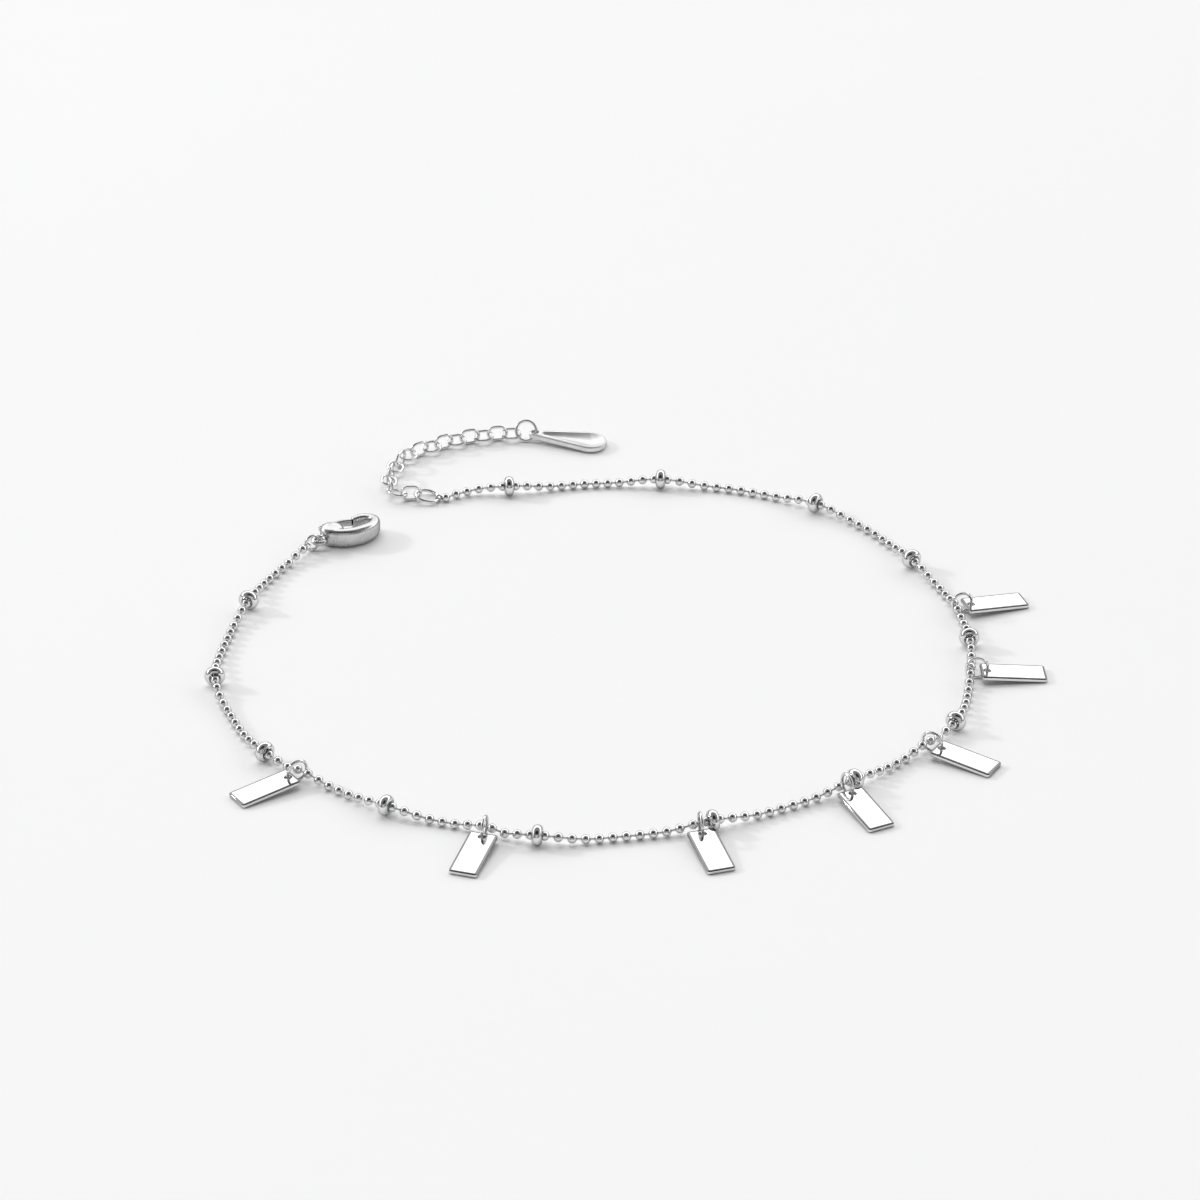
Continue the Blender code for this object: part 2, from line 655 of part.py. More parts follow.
def build_extender(chain_path, material):
    """The end ring, the cable links and the ring of the teardrop."""
    ring_half = END_RING_DIAMETER / 2
    ring_middle = ring_half - END_RING_WIRE / 2
    lift = LINK_WIRE + LINK_CLEARANCE
    tilt = math.asin(lift / (2 * ring_middle))
    ring_way = math.radians(END_RING_HEADING_DEG)
    out = Vector((math.cos(ring_way), math.sin(ring_way))) * (ring_half + CHAIN_END_GAP)
    ring_centre = chain_path.at(chain_path.length) + out

    chosen = [Vector((x * ROUTE_UNIT, y * ROUTE_UNIT)) for x, y in EXTENDER_ROUTE]
    start_way = Path(chosen).heading(0.0)
    across = Vector((math.cos(start_way), math.sin(start_way))) * ring_middle * math.cos(tilt)
    start = ring_centre + across
    path = Path([point - chosen[0] + start for point in chosen])
    upright_height = LINK_WIDTH / 2
    flat_height = upright_height - LINK_CLEARANCE

    ring = wire_ring("end_ring", END_RING_DIAMETER, END_RING_DIAMETER, END_RING_WIRE)
    seat = Matrix.Translation((ring_centre.x, ring_centre.y, END_RING_WIRE / 2 + lift / 2))
    turn = Matrix.Rotation(start_way, 4, "Z") @ Matrix.Rotation(-tilt, 4, "Y")
    add_piece("end_ring", ring, material, seat @ turn)

    link = wire_ring("extender_link", LINK_LENGTH, LINK_WIDTH, LINK_WIRE)
    distance = LINK_LENGTH / 2 - LINK_WIRE - LINK_CLEARANCE - END_RING_WIRE / 2
    for number in range(1, LINK_COUNT + 1):
        upright = number % 2 == 1
        place = path.at(distance)
        height = upright_height if upright else flat_height
        roll = math.radians(90.0 if upright else LINK_FLAT_ROLL_DEG)
        turn = Matrix.Rotation(path.heading(distance, LINK_LENGTH / 3), 4, "Z")
        seat = Matrix.Translation((place.x, place.y, height))
        add_piece(f"extender_link_{number:02d}", link, material,
                  seat @ turn @ Matrix.Rotation(roll, 4, "X"))
        distance += LINK_PITCH

    ring_half = DROP_RING_DIAMETER / 2
    distance -= LINK_PITCH
    distance += LINK_LENGTH / 2 - LINK_WIRE - LINK_CLEARANCE + ring_half - SMALL_RING_WIRE
    place = path.at(distance)
    ring = wire_ring("drop_ring", DROP_RING_DIAMETER, DROP_RING_DIAMETER, SMALL_RING_WIRE)
    roll = math.radians(DROP_RING_ROLL_DEG)
    turn = Matrix.Rotation(path.heading(distance), 4, "Z") @ Matrix.Rotation(roll, 4, "X")
    height = (ring_half - SMALL_RING_WIRE / 2) * math.sin(roll) + SMALL_RING_WIRE / 2
    add_piece("drop_ring", ring, material, Matrix.Translation((place.x, place.y, height)) @ turn)
    return path, distance


def teardrop(far, big, near, small, steps=9):
    """Outline around a big circle at x = far and a small one at x = near."""
    flare = math.asin((big - small) / (far - near))
    start = math.pi / 2 + flare
    points = []
    for k in range(steps + 1):
        turn = start * (2 * k / steps - 1)
        points.append((far + big * math.cos(turn), big * math.sin(turn)))
    for k in range(steps - 3):
        turn = start + 2 * (math.pi - start) * k / (steps - 4)
        points.append((near + small * math.cos(turn), small * math.sin(turn)))
    return points


def build_drop(path, ring_distance, material):
    """A flat teardrop with a raised rim and a hole for its ring."""
    hole = circle(DROP_HOLE_DIAMETER / 2)
    far = DROP_LENGTH - DROP_EYE_RADIUS - DROP_WIDTH / 2
    outline = teardrop(far, DROP_WIDTH / 2, 0.0, DROP_EYE_RADIUS)
    body = tool_from_mesh("drop_body", plate(outline, [hole], DROP_THICKNESS, "drop_plate"))
    recess_near = DROP_EYE_RADIUS + DROP_RIM_WIDTH
    recess_small = DROP_EYE_RADIUS - DROP_RIM_WIDTH
    recess_outline = teardrop(far, DROP_WIDTH / 2 - DROP_RIM_WIDTH, recess_near, recess_small)
    recess_mesh = plate(recess_outline, [], DROP_THICKNESS, "drop_recess")
    recess = tool_from_mesh("drop_recess", recess_mesh)
    recess.location.z = DROP_THICKNESS - DROP_RIM_HEIGHT
    bpy.context.view_layer.update()
    drop = unite("drop", body, [recess], "DIFFERENCE")
    finish(drop)
    ring_middle = (DROP_RING_DIAMETER - SMALL_RING_WIRE) / 2
    heading = path.heading(path.length - DROP_LENGTH / 2)
    lift = SMALL_RING_WIRE + TAG_REST_CLEARANCE
    hang = DROP_RING_DIAMETER / 2 - lift - DROP_THICKNESS / 2
    reach = math.sqrt(ring_middle ** 2 - hang ** 2)
    place = path.at(ring_distance) + Vector((math.cos(heading), math.sin(heading))) * reach
    lean = math.asin(lift / (DROP_LENGTH - DROP_EYE_RADIUS))
    seat = Matrix.Translation((place.x, place.y, lift + DROP_THICKNESS / 2))
    turn = Matrix.Rotation(heading, 4, "Z") @ Matrix.Rotation(lean, 4, "Y")
    add_piece("drop", drop, material, seat @ turn)


def build_bracelet():
    """Make every piece of the bracelet."""
    clear_scene()
    metals = make_materials()
    path = Path([(x * ROUTE_UNIT, y * ROUTE_UNIT) for x, y, _ in CHAIN_ROUTE])
    beads = bead_stations(path)
    spans = ball_stations(beads, path)
    tag_places = tag_stations(spans)
    supports = [(place, BEAD_DIAMETER / 2, BEAD_SAG_LENGTH) for place in beads]
    supports += [(place, ring_chain_height(), TAG_SAG_LENGTH) for place in tag_places]
    supports += [(0.0, CLASP_RING_DIAMETER / 2, TAG_SAG_LENGTH)]
    build_chain(path, beads, tag_places, supports, metals["balls"])
    build_beads(path, beads, metals["beads"])
    build_tags(path, tag_places, metals["tags"], metals["links"])
    build_clasp(path, metals["clasp"], metals["links"])
    extender, ring_distance = build_extender(path, metals["links"])
    build_drop(extender, ring_distance, metals["tags"])


build_bracelet()
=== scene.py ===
# %% [markdown]
# # A silver ball chain bracelet, laid open on a white surface
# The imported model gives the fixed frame: every solid of the bracelet in its real
# place, in metres. The solids are plain and faceted. Here each one gets the
# rounded, polished form that the jeweller would see, and a finish made of nodes.

import bisect
import json
import math

import bmesh
import bpy
import numpy as np
from mathutils import Euler, Matrix, Vector


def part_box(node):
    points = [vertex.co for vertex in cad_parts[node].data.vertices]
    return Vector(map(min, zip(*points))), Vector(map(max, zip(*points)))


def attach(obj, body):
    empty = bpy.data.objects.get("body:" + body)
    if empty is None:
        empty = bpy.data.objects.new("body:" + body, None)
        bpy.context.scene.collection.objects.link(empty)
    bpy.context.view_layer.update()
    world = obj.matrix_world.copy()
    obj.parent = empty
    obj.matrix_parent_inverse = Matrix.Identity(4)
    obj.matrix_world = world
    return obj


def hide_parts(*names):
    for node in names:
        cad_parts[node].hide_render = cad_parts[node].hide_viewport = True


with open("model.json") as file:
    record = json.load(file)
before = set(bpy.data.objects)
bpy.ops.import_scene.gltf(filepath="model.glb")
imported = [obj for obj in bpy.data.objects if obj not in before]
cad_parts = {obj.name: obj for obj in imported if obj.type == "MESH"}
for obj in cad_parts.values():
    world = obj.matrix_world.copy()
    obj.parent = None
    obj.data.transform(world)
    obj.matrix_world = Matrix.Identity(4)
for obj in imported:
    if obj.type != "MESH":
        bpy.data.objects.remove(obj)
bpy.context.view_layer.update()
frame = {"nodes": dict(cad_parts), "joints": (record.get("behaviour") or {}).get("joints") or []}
MM = 0.001
BRACELET = "bracelet"
LEVER = "lever"
print("Solids in the frame:", len(frame["nodes"]))

# %% [markdown]
# ## Reading a solid's own place
# A ring, a link or a tag is symmetrical, so its longest, middle and shortest
# directions are the main axes of its cloud of corners. Reading them from the
# frame keeps each finished piece exactly on its solid, with no second table of
# angles. The cross product fixes the third axis, so no piece is mirrored.

# %% Find a node's centre and axes
PLACE_DIGITS = 8


def corners_of(node):
    """Corner points of a node, in metres, each place once."""
    points = np.array([v.co for v in frame["nodes"][node].data.vertices])
    return np.unique(np.round(points, PLACE_DIGITS), axis=0)


def own_place(node):
    """Matrix from a piece's own space to its place: X longest, Z shortest."""
    points = corners_of(node)
    middle = points.mean(axis=0)
    _, axes = np.linalg.eigh(np.cov((points - middle).T))
    long_way, short_way = axes[:, 2], axes[:, 0]
    if short_way[2] < 0:
        short_way = -short_way
    side_way = np.cross(short_way, long_way)
    turn = np.column_stack((long_way, side_way, short_way))
    spread = (points - middle) @ turn
    centre = middle + turn @ ((spread.min(axis=0) + spread.max(axis=0)) / 2)
    place = Matrix(turn.tolist()).to_4x4()
    place.translation = Vector(centre)
    return place


ring_beads = sorted(n for n in frame["nodes"] if n.startswith("ring_bead"))
tag_rings = sorted(n for n in frame["nodes"] if n.startswith("tag_ring"))
tags = sorted(n for n in frame["nodes"] if n.startswith("tag_") and n not in tag_rings)
links = sorted(n for n in frame["nodes"] if n.startswith("extender_link"))
print("Ring beads", len(ring_beads), "tags", len(tags), "links", len(links))

# %% [markdown]
# ## The line of the chain
# A chain that is laid by hand follows no formula. A few chosen points give its
# bends and a smooth curve joins them. The centripetal kind of spline is used
# because it never loops or overshoots between points that are unevenly spaced.

# %% The chosen points of the laid chain
CHAIN_ROUTE = (
    (-38.64, 20.43, False), (-40.14, 18.23, False), (-42.74, 13.53, False),
    (-44.74, 7.63, True), (-46.54, 0.93, False),
    (-47.64, -9.97, True), (-45.34, -17.77, False),
    (-40.94, -26.67, True), (-33.74, -32.67, False),
    (-26.84, -37.97, True), (-17.94, -41.27, False),
    (-9.94, -44.17, True), (-0.04, -43.37, False),
    (9.46, -41.07, True), (17.66, -37.37, False),
    (25.56, -32.47, True), (31.56, -26.97, False),
    (37.56, -19.97, True), (39.76, -10.17, False),
    (40.26, -1.07, True), (38.36, 9.23, False),
    (34.46, 17.53, True), (29.56, 25.83, False),
    (23.36, 31.43, True), (13.96, 35.93, False),
    (4.46, 37.53, True), (-4.94, 37.43, False),
    (-14.24, 35.73, True), (-18.14, 35.73, False),
    (-20.34, 35.03, False), (-22.44, 33.73, False),
)
print("Chosen points:", len(CHAIN_ROUTE))


# %% A curve that is read by its length
class Route:
    """A smooth flat curve through chosen points, read by length along it."""

    STEPS = 24

    def __init__(self, points):
        points = [Vector(p) for p in points]
        ends = [2 * points[0] - points[1], *points, 2 * points[-1] - points[-2]]
        self.samples = []
        for i in range(len(points) - 1):
            for step in range(self.STEPS):
                self.samples.append(self.between(ends[i:i + 4], step / self.STEPS))
        self.samples.append(points[-1])
        self.lengths = [0.0]
        for a, b in zip(self.samples, self.samples[1:]):
            self.lengths.append(self.lengths[-1] + (b - a).length)
        self.length = self.lengths[-1]

    @staticmethod
    def between(corners, share):
        """Point between the two middle corners of a centripetal spline."""
        knots = [0.0]
        for a, b in zip(corners, corners[1:]):
            knots.append(knots[-1] + math.sqrt((b - a).length))
        t = knots[1] + share * (knots[2] - knots[1])
        level = list(corners)
        for windows in (((0, 1), (1, 2), (2, 3)), ((0, 2), (1, 3)), ((1, 2),)):
            level = [a.lerp(b, (t - knots[i]) / (knots[j] - knots[i]))
                     for a, b, (i, j) in zip(level, level[1:], windows)]
        return level[0]

    def at(self, distance):
        """Point at a length along the curve."""
        distance = min(max(distance, 0.0), self.length)
        i = min(bisect.bisect_right(self.lengths, distance), len(self.lengths) - 1)
        share = (distance - self.lengths[i - 1]) / (self.lengths[i] - self.lengths[i - 1])
        return self.samples[i - 1].lerp(self.samples[i], share)

    def nearest(self, x, y):
        """Length along the curve at its nearest point to a place."""
        gaps = [(point - Vector((x, y))).length for point in self.samples]
        return self.lengths[gaps.index(min(gaps))]


route = Route([(x * MM, y * MM) for x, y, _ in CHAIN_ROUTE])
print("Ball chain, mm:", round(route.length / MM, 1))

# %% [markdown]
# ## Where each ball sits
# Between two ring beads the balls share the room evenly, with gaps as close as can
# be to the chain's real pitch. The two end runs do the same between the last ring
# bead and the chain's end, so no run finishes with half a gap.

# %% Ball stations
BALL_DIAMETER = 1.1 * MM
BALL_PITCH = 1.5 * MM
BEAD_BALL_SPACING = 1.61 * MM
CHAIN_END_BALL = 0.5 * MM

bead_marks = [route.lengths[i * Route.STEPS] for i, row in enumerate(CHAIN_ROUTE) if row[2]]


def ball_stations(marks):
    """Lengths along the chain at the balls' centres, from end to end."""
    half = BEAD_BALL_SPACING / 2
    runs = [(CHAIN_END_BALL, marks[0] - half)]
    runs += [(low + half, high - half) for low, high in zip(marks, marks[1:])]
    runs.append((marks[-1] + half, route.length - CHAIN_END_BALL))
    stations = []
    for low, high in runs:
        gaps = max(1, round((high - low) / BALL_PITCH))
        stations += [low + (high - low) * k / gaps for k in range(gaps + 1)]
    return stations


balls = ball_stations(bead_marks)
print("Balls:", len(balls))

# %% [markdown]
# ## How high the chain lies
# The chain rests on the surface, but each ring bead, tag ring and the clasp's ring
# lifts it. Each support has its height and the length over which the chain sags
# back down. The highest answer wins, and an eased fall keeps the line free of kinks.

# %% Supports of the chain
BEAD_SAG_LENGTH = 6.5 * MM
TAG_SAG_LENGTH = 4.0 * MM
TAG_RING_DIAMETER = 2.85 * MM
TAG_RING_WIRE = 0.36 * MM
TAG_RING_CLEARANCE = 0.12 * MM
TAG_RING_CHAIN_DIP_DEG = 24.0
CHAIN_NECK_RADIUS = 0.14 * MM


def node_height(node):
    """Top of a node above the surface."""
    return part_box(node)[1].z


def chain_supports():
    """Each support as (length along the chain, height there, sagging length)."""
    supports = [(mark, node_height(ring_beads[0]) / 2, BEAD_SAG_LENGTH) for mark in bead_marks]
    inside = TAG_RING_DIAMETER / 2 - TAG_RING_WIRE - CHAIN_NECK_RADIUS - TAG_RING_CLEARANCE
    lift = TAG_RING_DIAMETER / 2 - inside * math.sin(math.radians(TAG_RING_CHAIN_DIP_DEG))
    for node in tag_rings:
        ring = own_place(node).translation
        supports.append((route.nearest(ring.x, ring.y), lift, TAG_SAG_LENGTH))
    supports.append((0.0, own_place("clasp_ring").translation.z, TAG_SAG_LENGTH))
    return supports


supports = chain_supports()


def chain_point(distance):
    """Centre of the chain at a length along it."""
    floor = BALL_DIAMETER / 2
    height = floor
    for mark, top, sag_length in supports:
        share = min(1.0, abs(distance - mark) / sag_length)
        ease = share * share * (3 - 2 * share)
        height = max(height, top + (floor - top) * ease)
    place = route.at(distance)
    return Vector((place.x, place.y, height))


print("Highest point of the chain, mm:", round(max(chain_point(s).z for s in balls) / MM, 2))

# %% [markdown]
# ## A node tree is a recipe
# Geometry Nodes can set one well made piece at many places. The helpers below make
# a tree with named inputs, join its sockets and hand the result back as a plain
# mesh. Making the mesh plain matters because instances are lost on export.

# %% Helpers for node trees
def new_tree(name, inputs):
    """Return an empty geometry tree with named inputs: (name, socket, value)."""
    tree = bpy.data.node_groups.new(name, "GeometryNodeTree")
    tree.interface.new_socket("Geometry", in_out="OUTPUT", socket_type="NodeSocketGeometry")
    tree.interface.new_socket("Geometry", in_out="INPUT", socket_type="NodeSocketGeometry")
    for label, kind, value in inputs:
        socket = tree.interface.new_socket(label, in_out="INPUT", socket_type=kind)
        if value is not None:
            socket.default_value = value
    return tree


def add_node(tree, kind, values=None, **settings):
    """Add a node. Values go to its inputs by name, and a socket is linked."""
    node = tree.nodes.new(kind)
    for name, setting in settings.items():
        setattr(node, name, setting)
    for name, value in (values or {}).items():
        if isinstance(value, bpy.types.NodeSocket):
            tree.links.new(value, node.inputs[name])
        else:
            node.inputs[name].default_value = value
    return node


def places_mesh(name, matrices):
    """A mesh of bare points that carry their turn as an attribute."""
    mesh = bpy.data.meshes.new(name)
    mesh.from_pydata([matrix.translation for matrix in matrices], [], [])
    turns = mesh.attributes.new("turn", "FLOAT_VECTOR", "POINT")
    for item, matrix in zip(turns.data, matrices):
        item.vector = matrix.to_euler()
    return mesh


def run_tree(name, mesh, tree, values, finish=None):
    """Run a tree on a mesh and return the plain piece that it makes."""
    maker = bpy.data.objects.new(name + "_maker", mesh)
    bpy.context.scene.collection.objects.link(maker)
    modifier = maker.modifiers.new("Make", "NODES")
    modifier.node_group = tree
    sockets = {item.name: item.identifier for item in tree.interface.items_tree
               if item.item_type == "SOCKET" and item.in_out == "INPUT"}
    for label, value in values.items():
        modifier[sockets[label]] = value
    if finish:
        finish(maker)
    depsgraph = bpy.context.evaluated_depsgraph_get()
    result = bpy.data.meshes.new_from_object(maker.evaluated_get(depsgraph))
    result.name = name
    for slot in reversed(range(len(result.materials))):
        if not result.materials[slot]:
            result.materials.pop(index=slot)
    bpy.data.objects.remove(maker, do_unlink=True)
    return show(name, result)


def show(name, mesh):
    """Put a finished mesh in the scene."""
    piece = bpy.data.objects.new(name, mesh)
    bpy.context.scene.collection.objects.link(piece)
    triangles = sum(len(face.vertices) - 2 for face in mesh.polygons)
    print(f"{name}: {triangles} triangles")
    return piece


def settle(piece, body, nodes=()):
    """Tie a finished piece to its body and its solids, if any."""
    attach(piece, body)
    if nodes:
        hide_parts(*nodes)


# %% [markdown]
# ## A tree that sets a piece at many places
# Each point gives a place and a turn. Instance on Points puts the piece there,
# Realize Instances makes it real mesh, and Set Material gives it its finish.

# %% The tree for set pieces
def set_on_points(tree, points, piece):
    """Put a piece at every point, turned as the point says."""
    turn = add_node(tree, "GeometryNodeInputNamedAttribute", {"Name": "turn"},
                    data_type="FLOAT_VECTOR")
    rotation = add_node(tree, "FunctionNodeEulerToRotation", {"Euler": turn.outputs["Attribute"]})
    placed = add_node(tree, "GeometryNodeInstanceOnPoints", {
        "Points": points, "Instance": piece, "Rotation": rotation.outputs["Rotation"]})
    return placed.outputs["Instances"]


def close_tree(tree, geometry, finish, smooth=True):
    """End a tree: real mesh, smooth where asked, coated with its finish."""
    skin = add_node(tree, "GeometryNodeRealizeInstances", {"Geometry": geometry})
    if smooth:
        skin = add_node(tree, "GeometryNodeSetShadeSmooth", {"Geometry": skin.outputs["Geometry"]})
    coated = add_node(tree, "GeometryNodeSetMaterial", {
        "Geometry": skin.outputs["Geometry"], "Material": finish})
    add_node(tree, "NodeGroupOutput", {"Geometry": coated.outputs["Geometry"]})


def set_pieces_tree():
    """Tree that puts one piece at every point."""
    tree = new_tree("Set pieces", [("Piece", "NodeSocketObject", None),
                                   ("Finish", "NodeSocketMaterial", None)])
    start = add_node(tree, "NodeGroupInput")
    piece = add_node(tree, "GeometryNodeObjectInfo", {"Object": start.outputs["Piece"]})
    placed = set_on_points(tree, start.outputs["Geometry"], piece.outputs["Geometry"])
    close_tree(tree, placed, start.outputs["Finish"], smooth=False)
    return tree


SET_PIECES = set_pieces_tree()
print("Nodes in the tree:", len(SET_PIECES.nodes))

# %% [markdown]
# ## Polished silver
# Silver shows what is round it, so its finish is mostly reflection. What makes it
# look real up close is what polishing leaves: faint cloudy changes of tone, a
# roughness that is never quite even, and hair-fine scratches. Noise in the piece's
# own coordinates gives all three, at the size that they have on the real metal.

# %% A finish made of nodes
CLOUD_SPACING = 1.6 * MM
CLOUD_RAMP = (0.35, 0.60)
TARNISH = 0.93
TARNISH_BLUE = 1.01
EDGE_TONE = 0.35
WEAR_SPACING = 0.35 * MM
WEAR_RANGE = (0.6, 1.5)
HAIR_SPACING = 0.03 * MM
HAIR_STRETCH = (0.12, 1.0, 1.0)
SCRATCH_DEPTH = 0.0003 * MM
PIT_SPACING = 0.25 * MM


def grey(level):
    """A grey colour of a level."""
    return (level, level, level, 1.0)


def new_finish(name):
    """A material with its tree, its shader and the piece's own coordinates."""
    material = bpy.data.materials.new(name)
    material.use_nodes = True
    tree = material.node_tree
    where = tree.nodes.new("ShaderNodeTexCoord").outputs["Object"]
    return material, tree, tree.nodes["Principled BSDF"], where


def noise(tree, coordinates, spacing, stretch=(1.0, 1.0, 1.0), detail=3.0):
    """Noise whose marks are a real distance apart, stretched along an axis."""
    scale = [value / spacing for value in stretch]
    mapping = add_node(tree, "ShaderNodeMapping", {"Vector": coordinates, "Scale": scale})
    return add_node(tree, "ShaderNodeTexNoise", {
        "Vector": mapping.outputs["Vector"], "Scale": 1.0, "Detail": detail})


def cloudy_tone(tree, where, tone):
    """The metal's tone, with faint clouds of tarnish."""
    cloud = noise(tree, where, CLOUD_SPACING)
    tint = add_node(tree, "ShaderNodeValToRGB", {"Fac": cloud.outputs["Fac"]})
    dull, bright = tint.color_ramp.elements
    dull.position, bright.position = CLOUD_RAMP
    dull.color = (tone * TARNISH, tone * TARNISH, tone * TARNISH * TARNISH_BLUE, 1.0)
    bright.color = grey(tone)
    return tint.outputs["Color"]


def polished_silver(name, tone, roughness, pit_depth=0.0, painted_outline_tone=1.0):
    """Silver with cloudy tone, painted shade on marked rims, uneven polish, scratches and pits."""
    material, tree, shader, where = new_finish(name)
    shader.inputs["Metallic"].default_value = 1.0
    shader.inputs["Specular Tint"].default_value = grey(EDGE_TONE)

    # Painted shade: where a mesh marks its rims, the colour is darkened to paint thin dark
    # outlines.
    painted_outline_mask = add_node(tree, "ShaderNodeAttribute", attribute_name="painted_outline_mask")
    painted_outline_scale = add_node(tree, "ShaderNodeMapRange", {
        "Value": painted_outline_mask.outputs["Fac"], "To Min": 1.0, "To Max": painted_outline_tone})
    shade = add_node(tree, "ShaderNodeVectorMath", {
        0: cloudy_tone(tree, where, tone), "Scale": painted_outline_scale.outputs["Result"]}, operation="SCALE")
    tree.links.new(shade.outputs["Vector"], shader.inputs["Base Color"])

    wear = noise(tree, where, WEAR_SPACING)
    polish = add_node(tree, "ShaderNodeMapRange", {
        "Value": wear.outputs["Fac"], "To Min": roughness * WEAR_RANGE[0],
        "To Max": roughness * WEAR_RANGE[1]})
    tree.links.new(polish.outputs["Result"], shader.inputs["Roughness"])

    hair = noise(tree, where, HAIR_SPACING, stretch=HAIR_STRETCH, detail=2.0)
    scratches = add_node(tree, "ShaderNodeBump", {
        "Height": hair.outputs["Fac"], "Distance": SCRATCH_DEPTH})
    pits = noise(tree, where, PIT_SPACING, detail=1.0)
    surface = add_node(tree, "ShaderNodeBump", {
        "Height": pits.outputs["Fac"], "Distance": pit_depth,
        "Normal": scratches.outputs["Normal"]})
    tree.links.new(surface.outputs["Normal"], shader.inputs["Normal"])
    return material


# %% The six finishes
CAST_PIT_DEPTH = 0.003 * MM

barrel_polish = polished_silver("barrel_polished_balls", 0.80, 0.09)
turned_polish = polished_silver("turned_bead_polish", 0.79, 0.08)
# Painted shade: the tags' finish darkens their marked rims to a quarter of the tone, the drop's a
# little.
mirror_polish = polished_silver("mirror_polished_plate", 0.86, 0.05, painted_outline_tone=0.25)
cast_polish = polished_silver("tumbled_casting", 0.61, 0.24, CAST_PIT_DEPTH)
satin_polish = polished_silver("satin_drop", 0.92, 0.48, painted_outline_tone=0.85)
wire_polish = polished_silver("drawn_wire", 0.84, 0.14)
finishes = (barrel_polish, turned_polish, mirror_polish, cast_polish, satin_polish, wire_polish)
print("Finishes:", [finish.name for finish in finishes])

# %% [markdown]
# ## Turned pieces
# Balls, ring beads and the clasp's pin are turned or rolled round an axis. Spinning
# a profile makes them with as many sides as the eye needs and no more. The profile
# closes on itself or ends on the axis, so the skin has no open edge.

# %% Spin a profile
MERGE_DISTANCE = 0.0005 * MM


def plain_mesh(name, bm):
    """Turn worked geometry into a mesh whose faces point outwards."""
    bmesh.ops.recalc_face_normals(bm, faces=bm.faces)
    mesh = bpy.data.meshes.new(name)
    bm.to_mesh(mesh)
    bm.free()
    return mesh


def lathe(name, profile, sides, closed):
    """Spin (radius, height) points round Z into a smooth closed mesh."""
    bm = bmesh.new()
    verts = [bm.verts.new((radius, 0.0, height)) for radius, height in profile]
    pairs = zip(verts, verts[1:] + verts[:1]) if closed else zip(verts, verts[1:])
    edges = [bm.edges.new(pair) for pair in pairs]
    bmesh.ops.spin(bm, geom=verts + edges, cent=(0, 0, 0), axis=(0, 0, 1),
                   angle=math.tau, steps=sides, use_duplicate=False)
    bmesh.ops.remove_doubles(bm, verts=bm.verts, dist=MERGE_DISTANCE)
    mesh = plain_mesh(name, bm)
    mesh.shade_smooth()
    return mesh


def arc(centre, radius, start_deg, end_deg, steps):
    """Points of an arc in the profile's plane."""
    turns = [math.radians(start_deg + (end_deg - start_deg) * k / steps)
             for k in range(steps + 1)]
    return [(centre[0] + radius * math.cos(t), centre[1] + radius * math.sin(t)) for t in turns]


def hidden_object(name, mesh):
    """An object for a shape that is still being worked on."""
    obj = bpy.data.objects.new(name, mesh)
    bpy.context.scene.collection.objects.link(obj)
    return obj


# %% [markdown]
# ## The balls and the wire that joins them
# Each ball of a bead chain is a thin strip rolled shut, so it keeps a small dimpled
# hole at each pole, where the wire comes out. The wire is a short straight link
# between neighbours. A tree turns the line of ball centres into tube for the wire,
# and sets a dimpled ball on every point. The ball is a tenth of a millimetre wider than
# the plain tube that it replaces, because that is what its outline measures.

# %% One ball
BALL_HOLE_RADIUS = 0.17 * MM
BALL_DIMPLE = 0.10 * MM
BALL_SIDES = 12
BALL_BANDS = 5
WIRE_DIAMETER = 0.24 * MM
WIRE_SIDES = 6


def ball_profile():
    """Half circle whose two ends turn in to form the dimples."""
    radius = BALL_DIAMETER / 2
    edge = math.degrees(math.asin(BALL_HOLE_RADIUS / radius))
    outside = arc((0.0, 0.0), radius, -90 + edge, 90 - edge, BALL_BANDS)
    depth = outside[-1][1] - BALL_DIMPLE
    return [(0.0, -depth), *outside, (0.0, depth)]


ball = hidden_object("ball", lathe("ball", ball_profile(), BALL_SIDES, False))
print("Faces of one ball:", len(ball.data.polygons))


# %% The tree for the ball chain
def maths(tree, operation, first, second):
    """The result of a sum in a tree."""
    return add_node(tree, "ShaderNodeMath", {0: first, 1: second}, operation=operation).outputs[0]


def wire_along(tree, curve, diameter, sides, caps=False):
    """Sweep round wire along a curve."""
    section = add_node(tree, "GeometryNodeCurvePrimitiveCircle", {
        "Resolution": sides, "Radius": maths(tree, "MULTIPLY", diameter, 0.5)})
    wire = add_node(tree, "GeometryNodeCurveToMesh", {
        "Curve": curve, "Profile Curve": section.outputs["Curve"], "Fill Caps": caps})
    return wire.outputs["Mesh"]


def ball_chain_tree():
    """Tree that makes wire along a line and sets a ball on each of its points."""
    tree = new_tree("Ball chain", [("Ball", "NodeSocketObject", None),
                                   ("Wire Diameter", "NodeSocketFloat", WIRE_DIAMETER),
                                   ("Wire Sides", "NodeSocketInt", WIRE_SIDES),
                                   ("Finish", "NodeSocketMaterial", None)])
    start = add_node(tree, "NodeGroupInput")
    piece = add_node(tree, "GeometryNodeObjectInfo", {"Object": start.outputs["Ball"]})
    placed = set_on_points(tree, start.outputs["Geometry"], piece.outputs["Geometry"])
    line = add_node(tree, "GeometryNodeMeshToCurve", {"Mesh": start.outputs["Geometry"]})
    wire = wire_along(tree, line.outputs["Curve"], start.outputs["Wire Diameter"],
                      start.outputs["Wire Sides"], caps=True)
    joined = add_node(tree, "GeometryNodeJoinGeometry")
    for geometry in (placed, wire):
        tree.links.new(geometry, joined.inputs["Geometry"])
    close_tree(tree, joined.outputs["Geometry"], start.outputs["Finish"])
    return tree


# %% The chain, threaded through its ring beads
def way_matrix(centre, way):
    """Place whose Z points along a direction."""
    turn = Vector(way).to_track_quat("Z", "Y").to_matrix().to_4x4()
    turn.translation = centre
    return turn


